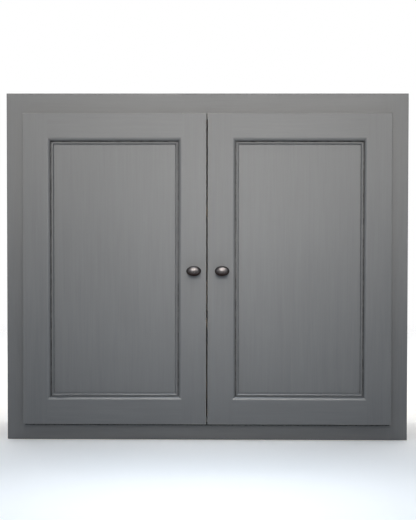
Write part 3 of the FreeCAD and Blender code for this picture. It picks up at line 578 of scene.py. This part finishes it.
class CABINET_OT_finish_inside(bpy.types.Operator):
    """Give the decks, the back, the hanging rails and the shelves their bare birch"""

    bl_idname = "cabinet.finish_inside"
    bl_label = "Finish the inside"

    def execute(self, context):
        for node in ("top_panel", "bottom_panel", "back_panel", "upper_shelf", "lower_shelf"):
            wear(node, wood_of(node, context.scene))
        for node in ("upper_hanging_rail", "lower_hanging_rail"):
            wear(node, wood_of(node, context.scene, sheet=False))
        return {"FINISHED"}


class CABINET_OT_paint_doors(bpy.types.Operator):
    """Paint the doors, with the brush marks along each piece"""

    bl_idname = "cabinet.paint_doors"
    bl_label = "Paint the doors"

    def execute(self, context):
        for side in SIDES:
            door = side + "_door_"
            whole = box_of(door + "hinge_stile", door + "meeting_stile")
            for piece, axis, rubbed in DOOR_PIECES:
                wear(door + piece, paint_of(door + piece, context.scene, axis, whole, rubbed))
        return {"FINISHED"}


def grid_faces(rows, columns):
    """The quads between neighbouring points of rings that follow each other."""
    here, beside = np.meshgrid(np.arange(rows - 1), np.arange(columns), indexing="ij")
    after = (beside + 1) % columns
    corners = [(here, beside), (here, after), (here + 1, after), (here + 1, beside)]
    return np.stack([row * columns + column for row, column in corners], axis=-1).reshape(-1, 4)


def closed_turn(rings, first, last):
    """The points and faces of rings that follow each other, with a pole closing each end."""
    rows, columns, _ = rings.shape
    points = np.concatenate([rings.reshape(-1, 3), [first, last]])
    column = np.arange(columns)
    beside = (column + 1) % columns
    last_row = (rows - 1) * columns
    low_fan = np.stack([beside, column, np.full(columns, rows * columns)], axis=1)
    high_fan = np.stack([column + last_row, beside + last_row, np.full(columns, rows * columns + 1)], axis=1)
    return points, [*grid_faces(rows, columns).tolist(), *low_fan.tolist(), *high_fan.tolist()]


def seat_at(origin, axis):
    """A seat whose axis is level, with up as the second direction."""
    axis = np.array(axis, float)
    return Seat(np.array(origin, float), np.cross(UP, axis), UP, axis)


def placed(seat, across, up, along):
    """Points in the cabinet from their measures across, up and along a seat's axis."""
    across, up, along = across[..., None], up[..., None], along[..., None]
    return seat.origin + across * seat.across + up * seat.up + along * seat.axis


def circle(count):
    """Angles evenly spaced round a full turn."""
    return np.linspace(0, 2 * np.pi, count, endpoint=False)


def level_rings(values, around):
    """One value for all the points of each ring."""
    return np.outer(values, np.ones_like(around))


def oval_rings(seat, across, up, along, around):
    """Rings round a seat's axis, each an oval of its own half width and half height at its own distance."""
    return placed(
        seat, np.outer(across, np.cos(around)), np.outer(up, np.sin(around)), level_rings(along, around)
    )


def new_object(name, data):
    """An object in the scene."""
    made = bpy.data.objects.new(name, data)
    bpy.context.scene.collection.objects.link(made)
    return made


def new_piece(name, surfaces, node, material, smooth_below=40.0):
    """One mesh of closed surfaces that stands for a node and rides on its body."""
    points, faces, start = [], [], 0
    for surface_points, surface_faces in surfaces:
        points.append(surface_points)
        faces.extend([[corner + start for corner in face] for face in surface_faces])
        start += len(surface_points)
    mesh = bpy.data.meshes.new(name)
    mesh.from_pydata(np.concatenate(points).tolist(), [], faces)
    mesh.materials.append(material)
    mesh.shade_smooth()
    mesh.set_sharp_from_angle(angle=math.radians(smooth_below))
    mesh.validate()
    piece = new_object(name, mesh)
    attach(piece, frame["nodes"][node]["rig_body"])
    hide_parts(node)


def solids_along(node, *axes):
    """The boxes of a node's separate solids, told apart by the wide gaps between them along some axes."""
    widest_gap_in_one = 0.016
    vertices = frame["nodes"][node].data.vertices
    points = np.empty(len(vertices) * 3)
    vertices.foreach_get("co", points)
    groups = [points.reshape(-1, 3)]
    for axis in axes:
        split = []
        for group in groups:
            ordered = group[np.argsort(group[:, AXES[axis]])]
            gaps = np.flatnonzero(np.diff(ordered[:, AXES[axis]]) > widest_gap_in_one)
            split.extend(np.split(ordered, gaps + 1))
        groups = split
    return [(group.min(axis=0), group.max(axis=0)) for group in groups]


def knob_surface(knob, seat, half_width, half_height, reach):
    """An oval knob. The dome is half an ellipsoid before and half behind its widest line. The stem flares
    from the waist into the dome's rear by a cosine, and its circles grow into the dome's ovals."""
    foot_round, join_angle = 0.0006, math.radians(-52)
    waist_rows, flare_rows, dome_rows = 12, 16, 40
    middle = reach - knob.dome
    foot = np.array([
        (knob.foot - foot_round, 0.0),
        (knob.foot, foot_round),
        (knob.foot, knob.foot_thickness - foot_round),
        (knob.foot - foot_round, knob.foot_thickness),
    ])
    down = np.linspace(0, 1, waist_rows)[1:]
    stem_foot = knob.foot - 3 * foot_round
    waist_along = knob.foot_thickness + (knob.waist_at - knob.foot_thickness) * down
    waist_radius = stem_foot + (knob.waist - stem_foot) * (1 - np.cos(np.pi * down)) / 2
    flare = np.pi / 2 * np.linspace(0, 1, flare_rows)[1:-1]
    join_along = middle + knob.dome * math.sin(join_angle)
    flare_along = knob.waist_at + (join_along - knob.waist_at) * np.sin(flare)
    dome_angle = np.linspace(join_angle, math.pi / 2, dome_rows)[:-1]

    def outline(half):
        """The knob's half measure one way, from its foot to its crown."""
        flare_radius = knob.waist + (half * math.cos(join_angle) - knob.waist) * (1 - np.cos(flare))
        return np.concatenate([foot[:, 0], waist_radius, flare_radius, half * np.cos(dome_angle)])

    along = np.concatenate([foot[:, 1], waist_along, flare_along, middle + knob.dome * np.sin(dome_angle)])
    rings = oval_rings(seat, outline(half_width), outline(half_height), along, circle(96))
    return closed_turn(rings, seat.origin, seat.origin + seat.axis * reach)


def bronze(knob, name, rim, middle, half_height):
    """Dark patina with fine scratches, rubbed to brown metal on the crown. The rubbing starts at the rim,
    and a painted shade keeps the lower part dark: the rubbed metal grows from below the knob's middle height
    to a little above it."""
    seed = seed_of(name)
    mottle_size, scratch_size, scratch_depth, relief = 0.004, (0.011, 0.004, 0.0004), 0.4, 0.00009
    rim_start, rim_end = rim - knob.dome * 0.90, rim - knob.dome * 0.20
    shade_fade_start, shade_fade_end = middle - half_height * 0.65, middle + half_height * 0.30
    smoother, rougher, in_painted_shade = 0.08, 0.14, 0.12
    finish = Finish(name + "_bronze", Metallic=1.0)
    mottle = finish.noise(mottle_size, seed, 4.0, 0.6)
    scratch = finish.noise(scratch_size, seed + 1, 2.0)
    crown = finish.spread(finish.place("y"), 1.0, 0.0, rim_start, rim_end)
    rubbed_share = finish.times(crown, finish.spread(mottle, 0.5, 1.1, *NARROW))
    # Painted shade: the lower part of the knob keeps the dark patina and shows little rubbed metal.
    out_of_painted_shade = finish.spread(finish.place("z"), in_painted_shade, 1.0, shade_fade_start, shade_fade_end)
    rubbed_share = finish.times(rubbed_share, out_of_painted_shade)
    shade = finish.blend(finish.calc("MINIMUM", rubbed_share, 1.0), knob.dark, knob.rubbed)
    roughness = finish.spread(scratch, knob.gloss - smoother, knob.gloss + rougher, *WIDE)
    height = finish.times(finish.plus(mottle, finish.times(scratch, scratch_depth)), relief)
    return finish.end(Pattern(shade, roughness, height))


class CABINET_OT_make_knobs(bpy.types.Operator):
    """Make the oval knobs"""

    bl_idname = "cabinet.make_knobs"
    bl_label = "Make the knobs"

    def execute(self, context):
        knob = context.scene.cabinet_knob
        for side in SIDES:
            node = side + "_door_knob"
            low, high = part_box(node)
            middle = (low + high) / 2
            half = (high - low) / 2
            seat = seat_at((middle.x, high.y, middle.z), FORWARD)
            surface = knob_surface(knob, seat, half.x, half.z, high.y - low.y)
            material = bronze(knob, side + "_knob", low.y + knob.dome, middle.z, half.z)
            new_piece(side + "_oval_knob", [surface], node, material)
        return {"FINISHED"}


def arc(centre_in, centre_up, radius_in, radius_up, start, end):
    """Points along an elliptical arc, as measures inward and up."""
    angles = np.radians(np.linspace(start, end, 14))
    return np.stack([centre_in + radius_in * np.cos(angles), centre_up + radius_up * np.sin(angles)], axis=1)


def moulding_section(shape, width, height):
    """The strip's face from the door frame to the panel: the ovolo's quarter of an ellipse, the channel, the
    bead's lip and its quarter of an ellipse, averaged over a short window, as paint rounds corners."""
    channel_end = shape.ovolo + shape.channel
    crest = channel_end + shape.lip
    corners = np.concatenate([
        arc(0.0, height - shape.ovolo_drop, shape.ovolo, shape.ovolo_drop, 90, 0),
        [(shape.ovolo, shape.floor), (channel_end, shape.floor)],
        arc(crest, shape.bead_height - shape.lip, shape.lip, shape.lip, 180, 90),
        arc(crest, 0.0, width - crest, shape.bead_height, 90, 0)[1:],
    ])
    steps = np.hypot(*np.diff(corners, axis=0).T)
    travelled = np.concatenate([[0.0], np.cumsum(steps)])
    spacing = 0.00022
    even = np.linspace(0, travelled[-1], int(travelled[-1] / spacing))
    face = np.stack([np.interp(even, travelled, corners[:, axis]) for axis in range(2)], axis=1)
    reach = int(shape.softness / spacing)
    padded = np.pad(face, ((reach, reach), (0, 0)), mode="reflect", reflect_type="odd")
    window = np.hanning(2 * reach + 3)[1:-1]
    window /= window.sum()
    soft = np.stack([np.convolve(padded[:, axis], window, mode="valid") for axis in range(2)], axis=1)
    return np.concatenate([soft, [(0.0, 0.0)]])


def mitred_strip(section, outer, along, inward, half_length, bend):
    """A strip with mitred ends. Each point of the section runs along it as far as the mitre lets it, and the
    members are shifted by the bend, which dies out at the strip's edges."""
    stations = np.linspace(-1, 1, 181)
    inset, rise = section.T
    run = np.outer(stations, half_length - inset)
    shift = bend(run) * np.sin(np.pi * np.clip(inset / inset.max(), 0, 1))
    points = (
        outer
        + run[..., None] * along
        + (inset + shift)[..., None] * inward
        + np.broadcast_to(rise, run.shape)[..., None] * FORWARD
    )
    rows, columns = run.shape
    ring = np.arange(columns)
    ends = [ring[::-1].tolist(), (ring + (rows - 1) * columns).tolist()]
    faces = [*grid_faces(rows, columns).tolist(), *ends]
    if np.dot(np.cross(inward, FORWARD), along) < 0:
        faces = [face[::-1] for face in faces]
    return points.reshape(-1, 3), faces


def strip_bend(shape, seed, half_length, is_bent):
    """How far a strip's members are shifted inward along it: a slight wander by two sines, and in the bent
    strip a drop towards the door frame in the form of a bell curve."""
    long_wave, short_wave, long_share = 9.0, 31.0, 0.6
    bend_place = shape.sag_place - half_length
    drop = shape.sag if is_bent else 0.0

    def bend(run):
        long_part = long_share * np.sin(run * long_wave + seed)
        wander = long_part + (1 - long_share) * np.sin(run * short_wave + 2 * seed)
        return wander * shape.waver - drop * np.exp(-((run - bend_place) / shape.sag_width) ** 2)

    return bend


class CABINET_OT_make_mouldings(bpy.types.Operator):
    """Make the mitred strips round the panels, with their corners softened by paint"""

    bl_idname = "cabinet.make_mouldings"
    bl_label = "Make the mouldings"

    def execute(self, context):
        shape = context.scene.cabinet_moulding
        for side, hinge_side in zip(SIDES, (-1, 1)):
            door = side + "_door_"
            strips = {
                "top_moulding": ((0, 0, 1), "x"),
                "bottom_moulding": ((0, 0, -1), "x"),
                "hinge_side_moulding": ((hinge_side, 0, 0), "z"),
                "meeting_side_moulding": ((-hinge_side, 0, 0), "z"),
            }
            low, high = box_of(*(door + name for name in strips))
            middle = (low + high) / 2
            half = (high - low) / 2
            top_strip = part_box(door + "top_moulding")
            section = moulding_section(shape, top_strip[1].z - top_strip[0].z, high.y - low.y)
            for name, (outward, axis) in strips.items():
                outward = np.array(outward, float)
                outer = np.array((middle.x, high.y, middle.z)) + outward * half
                half_length = half[AXES[axis]]
                bend = strip_bend(shape, seed_of(door + name), half_length, door + name == shape.bent_strip)
                strip = mitred_strip(section, outer, np.eye(3)[AXES[axis]], -outward, half_length, bend)
                material = self.paint(door + name, context.scene, axis, outer, -outward, section[:, 0].max())
                new_piece(side + "_" + name, [strip], door + name, material)
        return {"FINISHED"}

    def paint(self, name, settings, axis, outer, inward, width):
        """Brushed paint along a strip, with painted shade in its channel and along the panel. How much a
        strip faces up sets its reflection, gloss and shade: fully at the bottom, half at the sides and not
        at all at the top, so the top strips reflect less and carry the most painted shade, the bottom ones
        are glossier with a painted highlight and carry the least."""
        paint, shape = settings.cabinet_paint, settings.cabinet_moulding
        upturned = (1 + inward[2]) / 2
        sheen = float(np.interp(upturned, (0, 1), (shape.dull, shape.sheen)))
        painted_shade = (shape.painted_shade, shape.painted_shade * shape.side_shade, shape.bottom_shade)
        most = float(np.interp(upturned, (0, 0.5, 1), painted_shade))
        finish = Finish(name + "_paint", Specular_IOR_Level=sheen)
        pattern = paint_pattern(finish, paint, axis, seed_of(name))
        pattern = pattern._replace(roughness=finish.calc("SUBTRACT", pattern.roughness, upturned * shape.gleam))
        across = "z" if axis == "x" else "x"
        start = float(np.dot(outer, inward))
        inset = finish.calc("MULTIPLY_ADD", finish.place(across), inward[AXES[across]], -start)
        soft = shape.softness
        # Painted shade in the channel and in the corner along the panel.
        hollows = (
            (shape.ovolo - soft, shape.ovolo + shape.channel - 2 * soft),
            (width - soft, width + soft),
        )
        return finish.end(shaded_in_hollows(finish, paint, pattern, inset, hollows, most))


def screw_surface(steel, seat, radius, head_radius, head_height, reach):
    """A screw. The head is a flattened dome with a cross pressed into it. The shank's radius rises and falls
    in a zigzag of the distance along it less its angle, which makes the thread one helix."""
    thread_rows, blunt_tip = 72, 0.05
    rim_radius, rim_height = 0.97, 0.25
    crown_start, crown_end, crown_rows = 12, 86, 14
    around = circle(32)
    along = np.linspace(-reach, 0, thread_rows)[1:]
    taper = np.clip((along + reach) / (2 * radius), blunt_tip, 1.0)
    turns = along[:, None] / steel.pitch - around / (2 * np.pi)
    tooth = 1 - 2 * np.abs(turns - np.floor(turns) - 0.5)
    shank = taper[:, None] * (radius - steel.crest) + steel.crest * tooth
    crown = np.radians(np.linspace(crown_start, crown_end, crown_rows))
    head = head_radius * np.concatenate([[rim_radius, 1.0], np.cos(crown) ** 0.8])
    rise = np.concatenate([[0.0, rim_height], rim_height + (1 - rim_height) * np.sin(crown) ** 0.7])
    radii = np.concatenate([shank, level_rings(head, around)])
    heights = np.concatenate([along, head_height * rise])[:, None]
    across = radii * np.cos(around)
    up = radii * np.sin(around)
    arm, arm_end, half_slot, slot_wall = head_radius * np.array((0.62, 0.10, 0.13, 0.08))
    along_arm = np.maximum(np.abs(across), np.abs(up))
    beside_arm = np.minimum(np.abs(across), np.abs(up))
    cross = np.clip((arm - along_arm) / arm_end, 0, 1)
    cross = np.minimum(cross, np.clip((half_slot - beside_arm) / slot_wall, 0, 1))
    level = heights - np.where(heights > 0, cross * steel.recess, 0.0)
    top = seat.origin + seat.axis * (head_height - steel.recess)
    return closed_turn(placed(seat, across, up, level), seat.origin - seat.axis * reach, top)


def plated(steel, name):
    """Plated steel: faint upright lines that are pressed in a little, and dull stains."""
    line_length, shadow_width, line_depth, stain_size = 0.03, 0.0005, 0.00003, 0.012
    stain_share, smoother, rougher = 0.7, 0.08, 0.18
    seed = seed_of(name)
    finish = Finish(name + "_plate", Metallic=1.0)
    lines = finish.noise(along_axis("z", line_length, shadow_width), seed, 2.0)
    stains = finish.noise(stain_size, seed + 1, 3.0)
    shade = finish.blend(finish.ramp(stains, 0.45, 0.7), steel.plate, steel.stain)
    wear_marks = finish.shared(lines, stains, stain_share)
    roughness = finish.spread(wear_marks, steel.gloss - smoother, steel.gloss + rougher, *WIDE)
    return finish.end(Pattern(shade, roughness, finish.times(lines, line_depth)))


class CABINET_OT_finish_hinges(bpy.types.Operator):
    """Plate the hinges and put threaded screws with cross recesses in them and in the knobs"""

    bl_idname = "cabinet.finish_hinges"
    bl_label = "Finish the hinges"

    def execute(self, context):
        steel = context.scene.cabinet_steel
        for side, inward in zip(SIDES, (1, -1)):
            for piece in ("hinge_bases", "hinge_arms", "hinge_cups", "hinge_pins"):
                node = side + "_" + piece
                wear(node, plated(steel, node))
            screws = {
                "base_screws": (inward, 0, 0),
                "arm_screws": (inward, 0, 0),
                "cup_screws": (0, 1, 0),
                "door_knob_screw": (0, 1, 0),
            }
            for kind, axis in screws.items():
                node = side + "_" + kind
                surfaces = [self.screw(steel, node, box, axis) for box in solids_along(node, "z")]
                name = side + "_threaded_" + kind
                new_piece(name, surfaces, node, plated(steel, node), smooth_below=30.0)
        return {"FINISHED"}

    def screw(self, steel, node, box, axis):
        """The surface of one screw in the space that the packed one fills."""
        low, high = box
        along = int(np.argmax(np.abs(axis)))
        head_radius = (high[2] - low[2]) / 2
        head_size, shank_size, head_radius_size = KNOB_SCREW if "knob" in node else HINGE_SCREW
        head_height = head_radius * head_size / head_radius_size
        radius = head_radius * shank_size / head_radius_size
        origin = (low + high) / 2
        origin[along] = (high if axis[along] > 0 else low)[along] - axis[along] * head_height
        reach = high[along] - low[along] - head_height
        return screw_surface(steel, seat_at(origin, axis), radius, head_radius, head_height, reach)


def button_surface(seat, radius, height):
    """A soft button: a straight wall that rolls over into a low dome by a quarter of a squarish ellipse."""
    foot, wall, squareness = 0.98, 0.45, 0.45
    roll = np.linspace(0, np.pi / 2, 14)[:-1]
    radii = radius * np.concatenate([[foot], np.cos(roll) ** squareness])
    heights = height * np.concatenate([[0.0], wall + (1 - wall) * np.sin(roll)])
    rings = oval_rings(seat, radii, radii, heights, circle(48))
    return closed_turn(rings, seat.origin, seat.origin + seat.axis * height)


def soft_plastic(name):
    """Milky clear plastic with a trace of dust."""
    milky, dusty, dust_size, dust_height = (0.62, 0.63, 0.61), (0.46, 0.46, 0.43), 0.002, 0.00004
    finish = Finish(name + "_soft", Specular_IOR_Level=0.45, Subsurface_Weight=0.35, Subsurface_Scale=0.003)
    dust = finish.noise(dust_size, seed_of(name), 3.0)
    shade = finish.blend(finish.ramp(dust, 0.35, 0.7), milky, dusty)
    return finish.end(Pattern(shade, finish.spread(dust, 0.3, 0.55), finish.times(dust, dust_height)))


class CABINET_OT_make_bumpers(bpy.types.Operator):
    """Make the soft buttons that the doors close on"""

    bl_idname = "cabinet.make_bumpers"
    bl_label = "Make the bumpers"

    def execute(self, context):
        for side in SIDES:
            node = side + "_door_bumpers"
            surfaces = []
            for low, high in solids_along(node, "z"):
                middle = (low + high) / 2
                seat = seat_at((middle[0], low[1], middle[2]), (0, 1, 0))
                surfaces.append(button_surface(seat, (high[2] - low[2]) / 2, high[1] - low[1]))
            new_piece(side + "_soft_bumpers", surfaces, node, soft_plastic(node))
        return {"FINISHED"}


def pin_surface(seat, shank, collar, tab):
    """A shelf pin: a shank with a rounded end, a collar, and a tab whose upper half is cut flat. Its radius
    goes by the distance along it, and what of the tab would rise above the axis is held down to it."""
    around = circle(40)
    shank_length, shank_radius = shank
    collar_length, collar_radius = collar
    tab_length, tab_radius = tab
    soft = 0.0004
    rows_before_tab = 7
    outline = np.array([
        (-shank_length, shank_radius - 2 * soft),
        (-shank_length + 2 * soft, shank_radius),
        (0.0, shank_radius),
        (0.0, collar_radius - soft),
        (soft, collar_radius),
        (collar_length - soft, collar_radius),
        (collar_length, collar_radius - soft),
        (collar_length, tab_radius),
        (collar_length + tab_length - 2 * soft, tab_radius),
        (collar_length + tab_length, tab_radius - 2 * soft),
    ])
    along, radius = outline.T
    across = np.outer(radius, np.cos(around))
    up = np.outer(radius, np.sin(around))
    up[rows_before_tab:] = np.minimum(up[rows_before_tab:], 0.0)
    rings = placed(seat, across, up, level_rings(along, around))
    end = seat.origin + seat.axis * (collar_length + tab_length) - seat.up * tab_radius / 4
    return closed_turn(rings, seat.origin - seat.axis * shank_length, end)


class CABINET_OT_make_shelf_pins(bpy.types.Operator):
    """Make the pins under the shelves"""

    bl_idname = "cabinet.make_shelf_pins"
    bl_label = "Make the shelf pins"

    def execute(self, context):
        steel = context.scene.cabinet_steel
        for level in ("upper", "lower"):
            node = level + "_shelf_pins"
            surfaces = []
            for low, high in solids_along(node, "x", "y"):
                inward, outer = (1, low[0]) if low[0] < 0 else (-1, high[0])
                collar_radius = (high[1] - low[1]) / 2
                shank, collar, tab = [
                    ((high[0] - low[0]) * run, collar_radius * girth) for run, girth in PIN_PARTS
                ]
                origin = (low + high) / 2
                origin[0] = outer + inward * shank[0]
                surfaces.append(pin_surface(seat_at(origin, (inward, 0, 0)), shank, collar, tab))
            name = level + "_shelf_supports"
            new_piece(name, surfaces, node, plated(steel, node), smooth_below=30.0)
        return {"FINISHED"}


def area_light(name, place, target, size, watts, tint, spread=180.0):
    """A soft rectangular light at a place, turned to a target, with its spread in degrees."""
    light = bpy.data.lights.new(name, "AREA")
    light.shape = "RECTANGLE"
    light.size, light.size_y = size
    light.energy = watts
    light.spread = math.radians(spread)
    light.color = tint
    lamp = new_object(name, light)
    lamp.location = place
    lamp.rotation_euler = (Vector(target) - Vector(place)).to_track_quat("-Z", "Y").to_euler()
    lamp.visible_camera = False


def mix_shaders(tree, factor, first, second, output):
    """Give an output node a mix of two shaders."""
    mixed = tree.nodes.new("ShaderNodeMixShader")
    for socket, source in zip(mixed.inputs, (factor, first, second)):
        tree.links.new(source, socket)
    tree.links.new(mixed.outputs[0], tree.nodes[output].inputs["Surface"])


def studio_floor(glow):
    """A faintly glowing pale disc that fades out at its rim. Its rings' radii grow as squares."""
    rings, steps, reach, innermost, clearance = 24, 96, 3.6, 0.05, 0.0005
    pale, paler = (0.92, 0.88, 0.84), (0.95, 0.92, 0.88)
    grain_size, grain_seed, grain_height = 0.01, 7, 0.0001
    fade_start, fade_end = 1.6, 3.4
    around = circle(steps)
    radii = reach * np.linspace(innermost, 1, rings) ** 2
    flat = np.zeros((rings, steps))
    points = np.stack([np.outer(radii, np.cos(around)), np.outer(radii, np.sin(around)), flat], axis=-1)
    faces = grid_faces(rings, steps)[:, ::-1].tolist()
    mesh = bpy.data.meshes.new("studio_floor")
    mesh.from_pydata(points.reshape(-1, 3).tolist(), [], [list(range(steps)), *faces])
    mesh.validate()
    floor = new_object("studio_floor", mesh)
    floor.location.z = -clearance
    finish = Finish(
        "studio_floor_paper", Specular_IOR_Level=0.1, Emission_Color=(*WHITE, 1.0), Emission_Strength=glow
    )
    grain = finish.noise(grain_size, grain_seed, 2.0)
    shade = finish.blend(grain, pale, paler)
    mesh.materials.append(
        finish.end(Pattern(shade, finish.spread(grain, 0.8, 0.95), finish.times(grain, grain_height)))
    )
    far = finish.node("VectorMath", finish.position, operation="LENGTH", out=1)
    fade = finish.ramp(far, fade_start, fade_end)
    clear = finish.tree.nodes.new("ShaderNodeBsdfTransparent")
    mix_shaders(finish.tree, fade, finish.shader.outputs[0], clear.outputs[0], "Material Output")


def studio_world(strength):
    """A white backdrop to the camera, and a faintly blue light from all round to the cabinet."""
    world = bpy.data.worlds.new("studio")
    bpy.context.scene.world = world
    world.use_nodes = True
    tree = world.node_tree
    seen = tree.nodes["Background"]
    seen.inputs["Color"].default_value = (*WHITE, 1.0)
    lit = tree.nodes.new("ShaderNodeBackground")
    lit.inputs["Color"].default_value = (*ROOM, 1.0)
    lit.inputs["Strength"].default_value = strength
    path = tree.nodes.new("ShaderNodeLightPath")
    mix_shaders(tree, path.outputs["Is Camera Ray"], lit.outputs[0], seen.outputs[0], "World Output")


class CABINET_OT_set_stage(bpy.types.Operator):
    """Set the floor, the light and the camera"""

    bl_idname = "cabinet.set_stage"
    bl_label = "Set the stage"

    def execute(self, context):
        scene = context.scene
        studio = scene.cabinet_studio
        high = cad_box[1]
        front = box_of("frame_top_rail")[0].y

        def front_light(name, watts, size, tint, ahead, height, aim, spread):
            """A light before the front and turned to it. Its height and aim are shares of the cabinet's."""
            place = (studio.right, front - ahead, high.z * height)
            area_light(name, place, (studio.right, front, high.z * aim), size, watts, tint, spread)

        def light_down(name, watts, size, tint, back, height, spread=180.0):
            """A light over the middle, turned straight down."""
            area_light(name, (0.0, back, height), (0.0, back, 0.0), size, watts, tint, spread)

        scene.view_settings.view_transform = "Standard"
        studio_floor(studio.glow)
        studio_world(studio.sky)
        front_light("window_light", studio.window, (1.6, 0.8), WARM, 3.2, height=2.28, aim=0.835, spread=36)
        front_light("softbox", studio.softbox, (1.4, 0.4), MILD, 2.0, height=1.39, aim=0.76, spread=35)
        front_light("lamp", studio.lamp, (0.4, 0.3), MILD, 2.0, height=1.08, aim=0.456, spread=24)
        front_light("strip_light", studio.strip, (2.0, 0.3), AMBER, 1.4, height=2.025, aim=0.86, spread=40)
        light_down("floor_light", studio.floor_light, (0.6, 0.8), COOL, front - 0.7, high.z * 1.9, spread=60)
        light_down("backdrop_light", studio.backdrop, (4.0, 2.4), WHITE, high.y + 1.6, high.z + 1.6)
        camera = new_object("camera", bpy.data.cameras.new("camera"))
        scene.camera = camera
        camera.data.lens = studio.lens
        camera.data.sensor_width = 36.0
        camera.location = (studio.right, front - studio.distance, studio.height)
        turned = Matrix.Rotation(studio.turn, 4, "Z") @ Matrix.Rotation(math.pi / 2 - studio.tilt, 4, "X")
        camera.rotation_euler = (turned @ Matrix.Rotation(studio.roll, 4, "Z")).to_euler()
        return {"FINISHED"}


OPERATORS = (
    CABINET_OT_paint_case,
    CABINET_OT_finish_inside,
    CABINET_OT_paint_doors,
    CABINET_OT_make_mouldings,
    CABINET_OT_make_knobs,
    CABINET_OT_finish_hinges,
    CABINET_OT_make_bumpers,
    CABINET_OT_make_shelf_pins,
    CABINET_OT_set_stage,
)


class CABINET_PT_looks(bpy.types.Panel):
    """The cabinet's finishes and fittings"""

    bl_idname = "CABINET_PT_looks"
    bl_label = "Cabinet"
    bl_space_type = "VIEW_3D"
    bl_region_type = "UI"
    bl_category = "Cabinet"

    def draw(self, context):
        for name, group in SETTINGS.items():
            box = self.layout.box()
            box.label(text=group.__doc__)
            for prop in group.__annotations__:
                box.prop(getattr(context.scene, name), prop)
        for operator in OPERATORS:
            self.layout.operator(operator.bl_idname)


CLASSES = (*SETTINGS.values(), *OPERATORS, CABINET_PT_looks)


def register():
    """Register the settings, the operators and the panel."""
    for item in CLASSES:
        bpy.utils.register_class(item)
    for name, group in SETTINGS.items():
        setattr(bpy.types.Scene, name, PointerProperty(type=group))


def unregister():
    """Take them away again."""
    for name in SETTINGS:
        delattr(bpy.types.Scene, name)
    for item in reversed(CLASSES):
        bpy.utils.unregister_class(item)


def main():
    """Dress the cabinet."""
    register()
    for operator in OPERATORS:
        group, action = operator.bl_idname.split(".")
        getattr(getattr(bpy.ops, group), action)()


if __name__ == "__main__":
    main()
